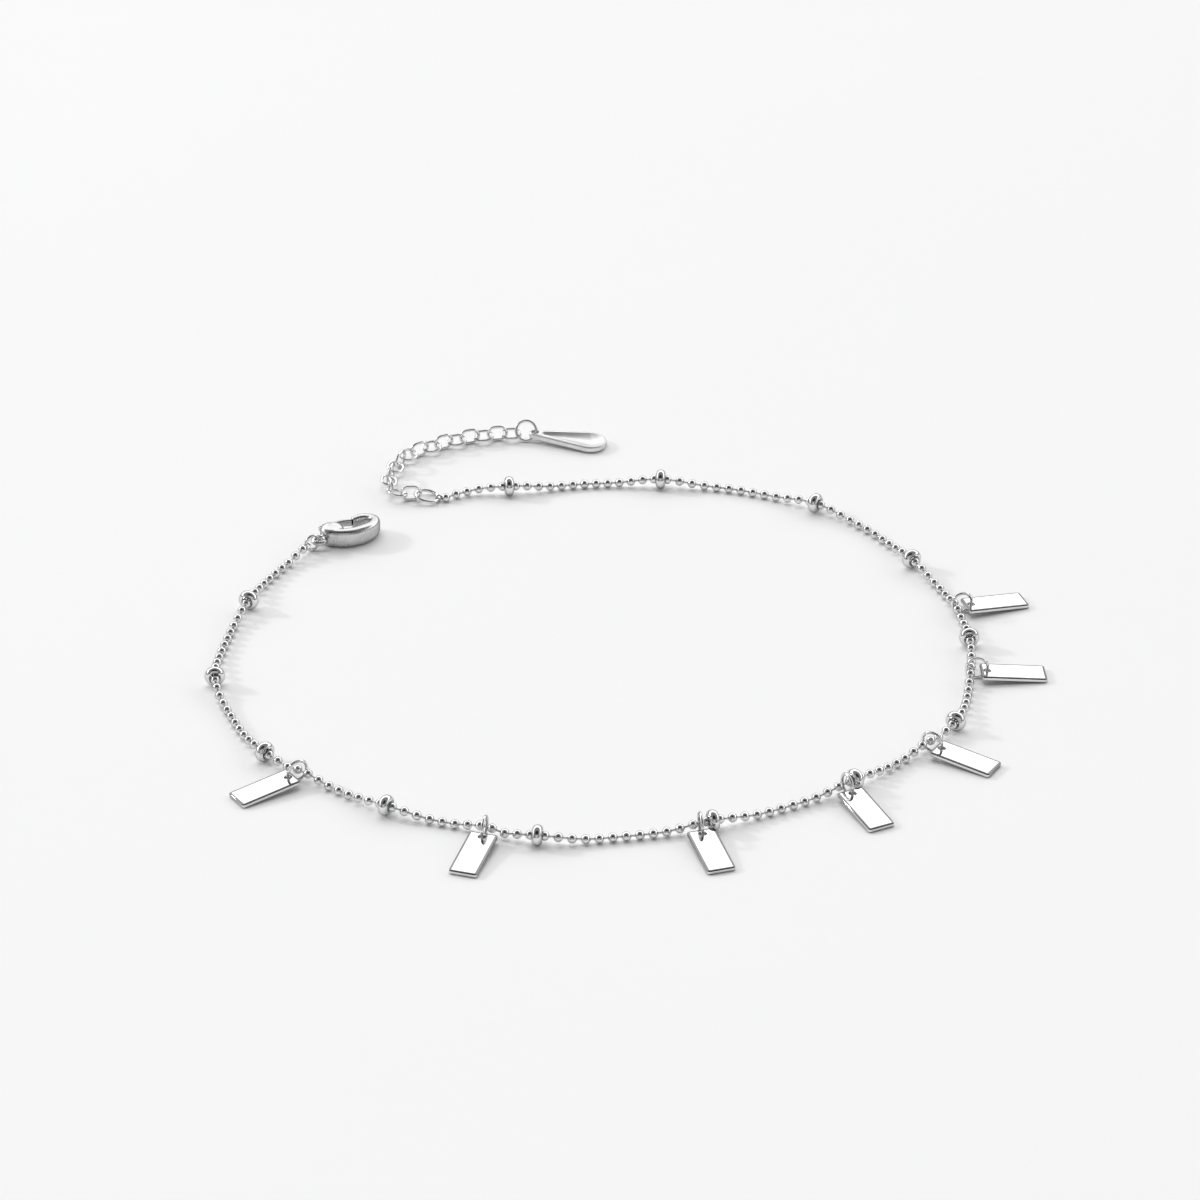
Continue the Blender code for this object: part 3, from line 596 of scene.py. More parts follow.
def chain_line(stations):
    """Mesh of the balls' centres joined in order, each turned along the chain."""
    reach = BALL_PITCH / 3
    places = [way_matrix(chain_point(s), chain_point(s + reach) - chain_point(s - reach))
              for s in stations]
    mesh = places_mesh("chain_line", places)
    mesh.edges.add(len(stations) - 1)
    for i, edge in enumerate(mesh.edges):
        edge.vertices = (i, i + 1)
    return mesh


ball_chain = run_tree("ball_chain_fine", chain_line(balls), ball_chain_tree(), {
    "Ball": ball, "Wire Diameter": WIRE_DIAMETER, "Finish": barrel_polish})
settle(ball_chain, BRACELET, ["ball_chain"])
bpy.data.objects.remove(ball, do_unlink=True)

# %% [markdown]
# ## The ring beads
# A ring bead is a thick little wheel, tumbled until its edges are round. Its profile
# is a rounded rectangle away from the axis, spun once and set thirteen times.

# %% Ring beads
BEAD_LENGTH = 1.15 * MM
BEAD_BORE = 1.05 * MM
BEAD_EDGE_OUTER = 0.52 * MM
BEAD_EDGE_INNER = 0.16 * MM
BEAD_SIDES = 48
BEAD_OUTER_STEPS = 6
BEAD_INNER_STEPS = 3


def bead_profile():
    """Rounded rectangle between the bore and the rim."""
    half = BEAD_LENGTH / 2
    out_x, out_z = node_height(ring_beads[0]) / 2 - BEAD_EDGE_OUTER, half - BEAD_EDGE_OUTER
    in_x, in_z = BEAD_BORE / 2 + BEAD_EDGE_INNER, half - BEAD_EDGE_INNER
    return [*arc((out_x, -out_z), BEAD_EDGE_OUTER, -90, 0, BEAD_OUTER_STEPS),
            *arc((out_x, out_z), BEAD_EDGE_OUTER, 0, 90, BEAD_OUTER_STEPS),
            *arc((in_x, in_z), BEAD_EDGE_INNER, 90, 180, BEAD_INNER_STEPS),
            *arc((in_x, -in_z), BEAD_EDGE_INNER, 180, 270, BEAD_INNER_STEPS)]


bead = hidden_object("bead", lathe("bead", bead_profile(), BEAD_SIDES, True))
bead_places = [own_place(node) for node in ring_beads]
ring_bead_set = run_tree("ring_beads_fine", places_mesh("bead_places", bead_places), SET_PIECES,
                         {"Piece": bead, "Finish": turned_polish})
settle(ring_bead_set, BRACELET, ring_beads)
bpy.data.objects.remove(bead, do_unlink=True)

# %% [markdown]
# ## Rings and links of bent wire
# A jump ring and a cable link are the same thing: round wire bent to a circle or to
# a circle pulled long. One tree makes both. It pushes the two halves of a circle
# apart along X and sweeps a round section round it.

# %% The tree for wire rings
RING_POINTS = 40
RING_WIRE_SIDES = 14
LINK_LENGTH = 2.72 * MM
LINK_WIDTH = 2.15 * MM
LINK_WIRE = 0.36 * MM


def wire_ring_tree():
    """Tree that sets a round or oval wire ring at every point."""
    tree = new_tree("Wire rings", [("Length", "NodeSocketFloat", LINK_LENGTH),
                                   ("Width", "NodeSocketFloat", LINK_WIDTH),
                                   ("Wire", "NodeSocketFloat", LINK_WIRE),
                                   ("Finish", "NodeSocketMaterial", None)])
    start = add_node(tree, "NodeGroupInput")

    def half_of(first, second):
        gap = maths(tree, "SUBTRACT", start.outputs[first], start.outputs[second])
        return maths(tree, "MULTIPLY", gap, 0.5)

    circle = add_node(tree, "GeometryNodeCurvePrimitiveCircle", {
        "Resolution": RING_POINTS, "Radius": half_of("Width", "Wire")})
    turned = add_node(tree, "GeometryNodeTransform", {
        "Geometry": circle.outputs["Curve"], "Rotation": Euler((0.0, 0.0, math.pi / RING_POINTS))})
    place = add_node(tree, "GeometryNodeInputPosition")
    parts = add_node(tree, "ShaderNodeSeparateXYZ", {"Vector": place.outputs["Position"]})
    side = add_node(tree, "ShaderNodeMath", {0: parts.outputs["X"]}, operation="SIGN")
    push = maths(tree, "MULTIPLY", side.outputs[0], half_of("Length", "Width"))
    offset = add_node(tree, "ShaderNodeCombineXYZ", {"X": push})
    oval = add_node(tree, "GeometryNodeSetPosition", {
        "Geometry": turned.outputs["Geometry"], "Offset": offset.outputs["Vector"]})
    ring = wire_along(tree, oval.outputs["Geometry"], start.outputs["Wire"], RING_WIRE_SIDES)
    placed = set_on_points(tree, start.outputs["Geometry"], ring)
    close_tree(tree, placed, start.outputs["Finish"])
    return tree


WIRE_RINGS = wire_ring_tree()
print("Nodes in the tree:", len(WIRE_RINGS.nodes))


# %% The tag rings, the clasp's ring, the end ring and the drop's ring
def wire_set(name, places, length, width, wire):
    """A set of equal wire rings or links at given places."""
    return run_tree(name, places_mesh(name + "_places", places), WIRE_RINGS, {
        "Length": length, "Width": width, "Wire": wire, "Finish": wire_polish})


END_RING_WIRE = 0.45 * MM
# Columns: the piece's name, its nodes, then outer diameter and wire.
ROUND_RINGS = (
    ("tag_rings_fine", tag_rings, TAG_RING_DIAMETER, TAG_RING_WIRE),
    ("clasp_ring_fine", ["clasp_ring"], 2.3 * MM, 0.38 * MM),
    ("end_ring_fine", ["end_ring"], 3.4 * MM, END_RING_WIRE),
    ("drop_ring_fine", ["drop_ring"], 2.9 * MM, 0.38 * MM),
)
for name, nodes, diameter, wire in ROUND_RINGS:
    rings = wire_set(name, [own_place(node) for node in nodes], diameter, diameter, wire)
    settle(rings, BRACELET, nodes)

# %% The extender's cable links
extender = wire_set("extender_fine", [own_place(node) for node in links],
                    LINK_LENGTH, LINK_WIDTH, LINK_WIRE)
settle(extender, BRACELET, links)

# %% [markdown]
# ## The chain's two ends
# The last ball's wire is bent into a small closed loop round the ring that follows.
# Each loop starts at the last ball and ends past the ring's wire. It stands across
# the ring's plane, since a loop can't pass through wire that lies in its own plane,
# and leans a little, so that it clears the surface.

# %% End loops
END_LOOP_WIDTH = 0.92 * MM
END_LOOP_OVERLAP = 0.24 * MM
END_LOOP_ROOT = 0.1 * MM
END_LOOP_LEAN_DEG = 30.0


def end_loop(ball_station, ring_node):
    """Place and length of the loop between an end ball and a ring."""
    ring = own_place(ring_node)
    points = corners_of(ring_node)
    last = chain_point(ball_station)
    normal = ring.col[2].to_3d()
    middle = ring.translation
    radius = max((Vector(p) - middle).length for p in points)
    toward = last - middle
    toward = (toward - normal * toward.dot(normal)).normalized()
    inside = middle + toward * (radius - END_RING_WIRE - END_LOOP_OVERLAP)
    way = (inside - last).normalized()
    start = last + way * (BALL_DIAMETER / 2 - END_LOOP_ROOT)
    side = way.cross(normal).normalized()
    turn = Matrix((way, side.cross(way), side)).transposed().to_4x4()
    turn = turn @ Matrix.Rotation(math.radians(END_LOOP_LEAN_DEG), 4, "X")
    turn.translation = (start + inside) / 2
    return turn, (inside - start).length


for station, ring_node in ((balls[0], "clasp_ring"), (balls[-1], "end_ring")):
    place, length = end_loop(station, ring_node)
    loop = wire_set("end_loop_" + ring_node, [place], length, END_LOOP_WIDTH, WIRE_DIAMETER)
    settle(loop, BRACELET)
    print("Loop length, mm:", round(length / MM, 2))

# %% [markdown]
# ## Pierced plates
# The tags and the teardrop are blanked from sheet, and a hole is pierced for the
# ring. Blanking rolls the edge over, more along the face than down the wall. Loops
# of one outline, each a little smaller, follow that roll. The face between the last
# loop and the hole is filled as one flat land, so it stays a true mirror. An
# attribute marks the rolled edge and the face's last tenth of a millimetre, and the
# finish darkens its colour there: painted shade for each edge's thin dark outline.

# %% Build a plate from loops
# Painted shade on the rims: where the darkened band starts, where it is full, and how fast it
# fades down the wall.
PAINTED_OUTLINE_BORDER = 0.12 * MM
PAINTED_OUTLINE_FULL = 0.11 * MM
PAINTED_OUTLINE_FADE = 3.0
HOLE_CHAMFER = 0.05 * MM


def join_loops(bm, loops):
    """Make rows of points and the skin between them. Returns the rows."""
    rows = [[bm.verts.new(point) for point in loop] for loop in loops]
    for first, second in zip(rows, rows[1:]):
        for k in range(len(first)):
            bm.faces.new((first[k - 1], first[k], second[k], second[k - 1]))
    return rows


def fill_land(bm, rows):
    """Fill the flat land between closed rows and keep its edges crisp."""
    edges = [bm.edges.get((row[k - 1], row[k])) for row in rows for k in range(len(row))]
    bmesh.ops.triangle_fill(bm, edges=edges, use_beauty=True, normal=(0, 0, 1))
    for edge in edges:
        edge.smooth = False


def pierced_plate(name, edge, outline, hole, dish=None):
    """Closed plate: an edge round an outline, a hole from front to back, a dish."""
    bm = bmesh.new()
    # Painted shade: each row carries how much the finish darkens its colour.
    painted_outline_mask = bm.verts.layers.float.new("painted_outline_mask")
    skin_rows = join_loops(bm, [outline(inset, height) for inset, height, _ in edge])
    for row, (_, _, painted_outline_share) in zip(skin_rows, edge):
        for vert in row:
            vert[painted_outline_mask] = painted_outline_share
    hole_rows = join_loops(bm, hole)
    front = [skin_rows[0], hole_rows[0]]
    if dish:
        dish_rows = join_loops(bm, dish)
        bm.faces.new(dish_rows[-1])
        front.append(dish_rows[0])
    fill_land(bm, front)
    fill_land(bm, [skin_rows[-1], hole_rows[-1]])
    for face in bm.faces:
        face.smooth = True
    return plain_mesh(name, bm)


def rolled_edge(thickness, roll_in, roll_down, steps=9):
    """Rows of (inset, height, dullness) from the front's land over the wall to the back."""
    turns = [math.pi / 2 * k / steps for k in range(steps + 1)]
    front = [(roll_in + PAINTED_OUTLINE_BORDER, thickness / 2, 0.0),
             (roll_in + PAINTED_OUTLINE_FULL, thickness / 2, 1.0)]
    front += [(roll_in * (1 - math.sin(t)), thickness / 2 - roll_down * (1 - math.cos(t)),
               min(1.0, PAINTED_OUTLINE_FADE * math.cos(t))) for t in turns]
    return front + [(inset, -height, painted_outline_share) for inset, height, painted_outline_share in reversed(front)]


def round_hole(radius, chamfer, thickness, sides=28):
    """Loops of a hole with a small chamfer at both faces."""
    half = thickness / 2
    rows = ((radius + chamfer, half), (radius, half - chamfer), (radius, chamfer - half),
            (radius + chamfer, -half))
    turns = [math.tau * k / sides for k in range(sides)]
    return [[(r * math.cos(t), r * math.sin(t), z) for t in turns] for r, z in rows]


# %% [markdown]
# ## The tags
# The seven tags are alike: a narrow plate with tight corners. Its rolled edge mirrors
# the dark ceiling and the dim horizon. With painted shade darkening the colour there,
# that gives each tag its fine grey outline.

# %% One tag, set seven times
TAG_LENGTH = 7.6 * MM
TAG_WIDTH = 3.25 * MM
TAG_THICKNESS = 0.5 * MM
TAG_CORNER = 0.3 * MM
TAG_HOLE_DIAMETER = 0.9 * MM
TAG_HOLE_INSET = 0.75 * MM
TAG_ROLL_IN = 0.16 * MM
TAG_ROLL_DOWN = 0.13 * MM
TAG_CORNER_STEPS = 5


def tag_outline(inset, height):
    """Rounded oblong round the hole's centre, drawn in by an inset."""
    radius = TAG_CORNER - inset
    low_x, high_x = -TAG_HOLE_INSET + TAG_CORNER, TAG_LENGTH - TAG_HOLE_INSET - TAG_CORNER
    reach = TAG_WIDTH / 2 - TAG_CORNER
    corners = ((high_x, -reach, -90), (high_x, reach, 0), (low_x, reach, 90), (low_x, -reach, 180))
    return [(x, y, height) for cx, cy, turn in corners
            for x, y in arc((cx, cy), radius, turn, turn + 90, TAG_CORNER_STEPS)]


def hole_at_origin(node):
    """A plate's place with its hole at the origin and its length along X."""
    place = own_place(node)
    lean = corners_of(node).mean(axis=0) - np.array(place.translation)
    if Vector(lean).dot(place.col[0].to_3d()) > 0:
        place = place @ Matrix.Rotation(math.pi, 4, "Z")
    return place @ Matrix.Translation((TAG_HOLE_INSET - TAG_LENGTH / 2, 0.0, 0.0))


tag_plate = hidden_object("tag_plate", pierced_plate(
    "tag_plate", rolled_edge(TAG_THICKNESS, TAG_ROLL_IN, TAG_ROLL_DOWN), tag_outline,
    round_hole(TAG_HOLE_DIAMETER / 2, HOLE_CHAMFER, TAG_THICKNESS)))
tag_set = run_tree("tags_fine", places_mesh("tag_places", [hole_at_origin(node) for node in tags]),
                   SET_PIECES, {"Piece": tag_plate, "Finish": mirror_polish})
settle(tag_set, BRACELET, tags)
bpy.data.objects.remove(tag_plate, do_unlink=True)

# %% [markdown]
# ## The lobster clasp
# The clasp is cast: a claw, a forked heel and an eye grow out of one another with no
# edge between them. The parts are lofted and turned as separate closed shells. A
# voxel remesh then fuses them into one skin, and smoothing rounds every join, much
# as tumbling does to the casting. The slot for the lever is cut before that.

# %% Sizes of the clasp
CLASP_LENGTH = 8.4 * MM
CLASP_WIDTH = 4.6 * MM
CLASP_THICKNESS = 2.3 * MM
CLASP_ARM_WIDTH = 1.3 * MM
CLASP_HEEL_RADIUS = 1.45 * MM
CLASP_EYE_RADIUS = 0.75 * MM
CLASP_EYE_WIRE = 0.6 * MM
LEVER_PIVOT_ALONG = 2.1 * MM
LEVER_PIVOT_ACROSS = 0.95 * MM
LEVER_HUB_RADIUS = 0.72 * MM
LEVER_THICKNESS = 0.9 * MM
LEVER_ARM_WIDTH = 0.62 * MM
LEVER_TAB_LENGTH = 1.7 * MM
LEVER_TAB_WIDTH = 0.8 * MM
LEVER_TAB_ROOT = 0.4 * MM
LEVER_TAB_HEADING_DEG = 100.0
LEVER_CLEARANCE = 0.22 * MM
LEVER_TIP_GAP = 0.06 * MM
PIN_RADIUS = 0.2 * MM
CLASP_HEADING_DEG = 34.0

# Columns: along as a share of the length, across as a share of half the width,
# then arm width and height as shares of the arm width and the thickness.
CLAW_SECTIONS = (
    (0.21, -0.12, 1.00, 0.97),
    (0.32, -0.46, 1.05, 1.00),
    (0.48, -0.68, 1.12, 1.00),
    (0.66, -0.70, 1.12, 1.00),
    (0.82, -0.52, 1.05, 0.92),
    (0.925, -0.10, 0.95, 0.84),
    (0.90, 0.36, 0.88, 0.76),
    (0.80, 0.62, 0.80, 0.70),
    (0.67, 0.69, 0.62, 0.58),
)
# Columns: along and across as shares of the way from pivot to arm end, then width.
LEVER_SECTIONS = (
    (0.00, 0.00, 1.20),
    (0.16, 1.20, 1.10),
    (0.42, 1.90, 1.00),
    (0.72, 1.75, 0.95),
    (1.00, 1.00, 0.85),
)
pivot_joint = frame["joints"][0]
pivot_world = Vector(pivot_joint["pos_m"])
clasp_turn = Matrix.Rotation(math.radians(CLASP_HEADING_DEG), 4, "Z")
pivot_local = Vector((LEVER_PIVOT_ALONG, LEVER_PIVOT_ACROSS, 0.0))
clasp_place = Matrix.Translation(pivot_world) @ clasp_turn @ Matrix.Translation(-pivot_local)
print("Clasp's eye at, mm:", [round(v / MM, 2) for v in clasp_place.translation])


# %% Loft a bent bar with round sections
DISC_EDGE_STEPS = 6


def smooth_rows(rows, steps):
    """Rows of numbers, blended so that the bar bends without corners."""
    data = np.array(rows)
    ends = np.vstack([2 * data[0] - data[1], data, 2 * data[-1] - data[-2]])
    fine = []
    for i in range(len(data) - 1):
        p0, p1, p2, p3 = ends[i:i + 4]
        for k in range(steps):
            t = k / steps
            fine.append(0.5 * (2 * p1 + (p2 - p0) * t + (2 * p0 - 5 * p1 + 4 * p2 - p3) * t ** 2
                               + (3 * p1 - p0 - 3 * p2 + p3) * t ** 3))
    return [*fine, data[-1]]


def bent_bar(name, rows, power, sides=28):
    """Closed loft along flat (x, y, half width, half height) rows."""
    loops = []
    for i, (x, y, half_width, half_height) in enumerate(rows):
        before, after = rows[max(i - 1, 0)], rows[min(i + 1, len(rows) - 1)]
        heading = Vector((after[0] - before[0], after[1] - before[1])).normalized()
        side = Vector((-heading.y, heading.x))
        loop = []
        for k in range(sides):
            turn = math.tau * k / sides
            reach = half_width * math.copysign(abs(math.cos(turn)) ** power, math.cos(turn))
            rise = half_height * math.copysign(abs(math.sin(turn)) ** power, math.sin(turn))
            loop.append((x + side.x * reach, y + side.y * reach, rise))
        loops.append(loop)
    bm = bmesh.new()
    bar_rows = join_loops(bm, loops)
    for cap in (bar_rows[0], bar_rows[-1]):
        bm.faces.new(cap)
    return hidden_object(name, plain_mesh(name, bm))


def disc(name, radius, height, edge, centre, sides=64):
    """A turned disc with rounded rims."""
    top = arc((radius - edge, height / 2 - edge), edge, 0, 90, DISC_EDGE_STEPS)
    low = arc((radius - edge, -height / 2 + edge), edge, -90, 0, DISC_EDGE_STEPS)
    mesh = lathe(name, [(0.0, -height / 2), *low, *top, (0.0, height / 2)], sides, False)
    mesh.transform(Matrix.Translation(centre))
    return hidden_object(name, mesh)


# %% Fuse shells into one cast skin
CAST_VOXEL = 0.05 * MM


def fuse(name, shells, cuts, smoothing):
    """Join closed shells, cut them, and round every join."""
    target = shells[0]
    for i, other in enumerate(shells[1:] + cuts):
        boolean = target.modifiers.new(f"Fuse {i}", "BOOLEAN")
        boolean.operation = "UNION" if i < len(shells) - 1 else "DIFFERENCE"
        boolean.solver = "EXACT"
        boolean.object = other
    remesh = target.modifiers.new("Skin", "REMESH")
    remesh.mode = "VOXEL"
    remesh.voxel_size = CAST_VOXEL
    remesh.use_smooth_shade = True
    soften = target.modifiers.new("Tumble", "SMOOTH")
    soften.factor = 0.5
    soften.iterations = smoothing
    depsgraph = bpy.context.evaluated_depsgraph_get()
    mesh = bpy.data.meshes.new_from_object(target.evaluated_get(depsgraph))
    for obj in shells + cuts:
        bpy.data.objects.remove(obj, do_unlink=True)
    mesh.name = name
    mesh.materials.clear()
    mesh.materials.append(cast_polish)
    mesh.shade_smooth()
    return mesh


# %% The claw, heel and eye
BAR_STEPS = 8
CLAW_SQUARENESS = 0.6
HEEL_EDGE = 0.6 * MM
EYE_STEPS = 16
EYE_SIDES = 40
BODY_TUMBLING = 14

claw_rows = [(a * CLASP_LENGTH, b * CLASP_WIDTH / 2,
              w * CLASP_ARM_WIDTH / 2, h * CLASP_THICKNESS / 2) for a, b, w, h in CLAW_SECTIONS]
claw = bent_bar("claw", smooth_rows(claw_rows, BAR_STEPS), CLAW_SQUARENESS)
heel = disc("heel", CLASP_HEEL_RADIUS, CLASP_THICKNESS, HEEL_EDGE,
            (LEVER_PIVOT_ALONG, LEVER_PIVOT_ACROSS / 2, 0.0))
eye_section = arc((CLASP_EYE_RADIUS, 0.0), CLASP_EYE_WIRE / 2,
                  0, 360 - 360 / EYE_STEPS, EYE_STEPS - 1)
eye = hidden_object("eye", lathe("eye", eye_section, EYE_SIDES, True))
slot_half = LEVER_THICKNESS / 2 + LEVER_CLEARANCE
hub_room = LEVER_HUB_RADIUS + LEVER_CLEARANCE
slot_low = pivot_local + Vector((-hub_room, -hub_room, -slot_half))
slot_high = Vector((LEVER_PIVOT_ALONG + 2 * CLASP_HEEL_RADIUS, CLASP_WIDTH, slot_half))
slot_bm = bmesh.new()
slot_size = Matrix.Diagonal((*(slot_high - slot_low), 1.0))
bmesh.ops.create_cube(slot_bm, size=1.0,
                      matrix=Matrix.Translation((slot_low + slot_high) / 2) @ slot_size)
slot_cut = hidden_object("slot_cut", plain_mesh("slot_cut", slot_bm))
clasp_mesh = fuse("clasp_body_fine", [claw, heel, eye], [slot_cut], BODY_TUMBLING)
clasp_mesh.transform(clasp_place)
settle(show("clasp_body_fine", clasp_mesh), BRACELET, ["clasp_body"])

# %% [markdown]
# ## The hinge pin
# A pin runs through the heel and the lever. The hammer leaves its upper head a hair
# proud and domed. The lower one is filed flush, so the clasp lies flat. The pin turns
# with nothing, so it rides with the body.

# %% The pin
PIN_HEAD_RADIUS = 0.34 * MM
PIN_HEAD_RISE = 0.05 * MM
PIN_HEAD_DOME = 0.7
PIN_FACE_INSET = 0.02 * MM
PIN_HEAD_DEPTH = 0.04 * MM
PIN_NECK_DEPTH = 0.1 * MM
PIN_SIDES = 32


def pin_profile():
    """A shank with a domed head on top and a flush one below."""
    face = CLASP_THICKNESS / 2 - PIN_FACE_INSET
    top = [(PIN_RADIUS, face - PIN_NECK_DEPTH), (PIN_HEAD_RADIUS, face - PIN_HEAD_DEPTH),
           (PIN_HEAD_RADIUS, face),
           (PIN_HEAD_RADIUS * PIN_HEAD_DOME, face + PIN_HEAD_RISE * PIN_HEAD_DOME),
           (0.0, face + PIN_HEAD_RISE)]
    low = [(radius, -min(height, face)) for radius, height in reversed(top)]
    return [*low, *top]


pin_mesh = lathe("clasp_pin", pin_profile(), PIN_SIDES, False)
pin_mesh.materials.append(cast_polish)
pin_mesh.transform(clasp_place @ Matrix.Translation(pivot_local))
settle(show("clasp_pin", pin_mesh), BRACELET)

# %% The lever
LEVER_SQUARENESS = 0.8
LEVER_HUB_EDGE = 0.12 * MM
LEVER_TAB_HEIGHT = 0.95
LEVER_TUMBLING = 3
TAB_STEPS = 6
BORE_CLEARANCE = 0.06 * MM
BORE_EDGE = 0.02 * MM

arm_end = Vector((CLAW_SECTIONS[-1][0] * CLASP_LENGTH - LEVER_TIP_GAP,
                  CLAW_SECTIONS[-1][1] * CLASP_WIDTH / 2)) - pivot_local.to_2d()
lever_rows = [(a * arm_end.x, b * arm_end.y, w * LEVER_ARM_WIDTH / 2, LEVER_THICKNESS / 2)
              for a, b, w in LEVER_SECTIONS]
arm = bent_bar("arm", smooth_rows(lever_rows, BAR_STEPS), LEVER_SQUARENESS)
hub = disc("hub", LEVER_HUB_RADIUS, LEVER_THICKNESS, LEVER_HUB_EDGE, (0.0, 0.0, 0.0))
tab_turn = math.radians(LEVER_TAB_HEADING_DEG)
tab_way = Vector((math.cos(tab_turn), math.sin(tab_turn)))
tab_rows = [(*(tab_way * reach), width / 2, LEVER_TAB_HEIGHT * LEVER_THICKNESS / 2)
            for reach, width in ((LEVER_TAB_ROOT, LEVER_ARM_WIDTH),
                                 (LEVER_TAB_LENGTH, LEVER_TAB_WIDTH))]
tab = bent_bar("tab", smooth_rows(tab_rows, TAB_STEPS), LEVER_SQUARENESS)
bore = disc("bore", PIN_RADIUS + BORE_CLEARANCE, 2 * LEVER_THICKNESS, BORE_EDGE, (0.0, 0.0, 0.0))
lever_mesh = fuse("clasp_lever_fine", [arm, hub, tab], [bore], LEVER_TUMBLING)
lever_mesh.transform(clasp_place @ Matrix.Translation(pivot_local))
settle(show("clasp_lever_fine", lever_mesh), LEVER, ["clasp_lever"])

# %% [markdown]
# ## The teardrop
# The drop that ends the extender is a small teardrop with a rounded rim and a dish
# pressed into its face, like the bowl of a spoon. The same loops of one outline make
# it: over the rim on the outside, and down into the dish on the inside.

# %% Outline of the drop
DROP_LENGTH = 9.9 * MM
DROP_WIDTH = 4.2 * MM
DROP_THICKNESS = 0.75 * MM
DROP_RIM_WIDTH = 0.5 * MM
DROP_RIM_CREST = 0.14 * MM
DROP_DISH = 0.36 * MM
DROP_DISH_ROWS = 9
DROP_EYE_RADIUS = 0.75 * MM
DROP_HOLE_DIAMETER = 0.9 * MM
DROP_ROLL_IN = 0.20 * MM
DROP_ROLL_DOWN = 0.2 * MM
DROP_STEPS = 24


def teardrop(inset, height, near=0.0, small=None):
    """Outline round a big far circle and a small near one, drawn in by an inset."""
    small = DROP_EYE_RADIUS - inset if small is None else small
    far = DROP_LENGTH - DROP_EYE_RADIUS - DROP_WIDTH / 2
    big = DROP_WIDTH / 2 - inset
    start = math.pi / 2 + math.asin((big - small) / (far - near))
    points = []
    for k in range(2 * DROP_STEPS + 1):
        turn = start * (k / DROP_STEPS - 1)
        points.append((far + big * math.cos(turn), big * math.sin(turn), height))
    for k in range(1, DROP_STEPS):
        turn = start + 2 * (math.pi - start) * k / DROP_STEPS
        points.append((near + small * math.cos(turn), small * math.sin(turn), height))
    return points


def dish_rows():
    """Loops from the rim's inner edge down into the dish."""
    near = DROP_EYE_RADIUS + DROP_RIM_WIDTH
    small = DROP_EYE_RADIUS - DROP_RIM_WIDTH
    top = DROP_THICKNESS / 2
    start = DROP_RIM_WIDTH - DROP_RIM_CREST
    rows = []
    for k in range(DROP_DISH_ROWS + 1):
        share = k / (DROP_DISH_ROWS + 0.5)
        depth = DROP_DISH * (1 - (1 - share) ** 2)
        rows.append(teardrop(start + (DROP_WIDTH / 2 - start) * share, top - depth,
                             near, (small + DROP_RIM_CREST) * (1 - share)))
    return rows


# %% The drop's mesh
def drop_place():
    """The drop's place, with the hole at the origin and the broad end along X."""
    place = own_place("drop")
    points = corners_of("drop") - np.array(place.translation)
    along = points @ np.array(place.col[0].to_3d())
    width = np.abs(points @ np.array(place.col[1].to_3d()))
    if along[width.argmax()] < 0:
        place = place @ Matrix.Rotation(math.pi, 4, "Z")
    return place @ Matrix.Translation((DROP_EYE_RADIUS - DROP_LENGTH / 2, 0.0, 0.0))


drop_data = pierced_plate(
    "drop_fine", rolled_edge(DROP_THICKNESS, DROP_ROLL_IN, DROP_ROLL_DOWN), teardrop,
    round_hole(DROP_HOLE_DIAMETER / 2, HOLE_CHAMFER, DROP_THICKNESS), dish_rows())
drop_data.materials.append(satin_polish)
drop_data.transform(drop_place())
settle(show("drop_fine", drop_data), BRACELET, ["drop"])

# %% [markdown]
# ## The surface
# The bracelet lies on a plain white board. A board is never one flat tone, so two
# sizes of faint noise vary it a little, far below what the eye would call a pattern.

# %% White surface
SURFACE_SIZE = 6.0
BOARD_TONES = (0.895, 0.905)
BOARD_ROUGHNESS = 0.9
BOARD_CLOUD_SPACING = 60 * MM


def white_board():
    """A matt white finish with the faintest tooth."""
    material, tree, shader, where = new_finish("white_board")
    shader.inputs["Specular IOR Level"].default_value = 0.0
    shader.inputs["Roughness"].default_value = BOARD_ROUGHNESS
    cloud = noise(tree, where, BOARD_CLOUD_SPACING)
    tint = add_node(tree, "ShaderNodeValToRGB", {"Fac": cloud.outputs["Fac"]})
    for element, tone in zip(tint.color_ramp.elements, BOARD_TONES):
        element.color = grey(tone)
    tree.links.new(tint.outputs["Color"], shader.inputs["Base Color"])
    return material


surface_mesh = bpy.data.meshes.new("surface")
half = SURFACE_SIZE / 2
surface_mesh.from_pydata([(-half, -half, 0), (half, -half, 0), (half, half, 0), (-half, half, 0)],
                         [], [(0, 1, 2, 3)])
surface_mesh.materials.append(white_board())
show("surface", surface_mesh)

# %% [markdown]
# ## Light for polished metal
# A mirror shows its surroundings, so the studio is drawn as a soft dome: bright
# behind and at the sides, dim over the camera and overhead, where an unlit ceiling
# is. One round patch of that, between the camera and the zenith, is almost black. The
# dark places put the small dark spots on the balls and the fine dark lines on the
# tags' front edges. A low lamp at the left throws the faint long shadows.

# %% The studio dome
DOME_LEVEL = 1.9
CEILING_WAY = (0.0, -0.45, 0.893)
CEILING_EDGE = (0.34, 0.52)
CEILING_LEVEL = 0.13
CORE_WAY = (0.0, -0.574, 0.819)
CORE_EDGE = (0.83, 0.93)
CORE_LEVEL = 0.10
HORIZON_EDGE = (0.12, 0.32)
HORIZON_LEVEL = 0.14
FRONT_WAY = (0.0, -0.966, 0.259)
FRONT_EDGE = (0.86, 0.97)
FRONT_LEVEL = 0.22


def fade(tree, value, edge, start, end):
    """A level that eases from a start to an end between two edges of a value."""
    node = add_node(tree, "ShaderNodeMapRange", {
        "Value": value, "From Min": edge[0], "From Max": edge[1],
        "To Min": start, "To Max": end}, interpolation_type="SMOOTHSTEP")
    return node.outputs["Result"]


def nearness(tree, way, aim):
    """How nearly a direction points along an aim: 1 is straight at it."""
    node = add_node(tree, "ShaderNodeVectorMath", {0: way, 1: aim}, operation="DOT_PRODUCT")
    return node.outputs["Value"]


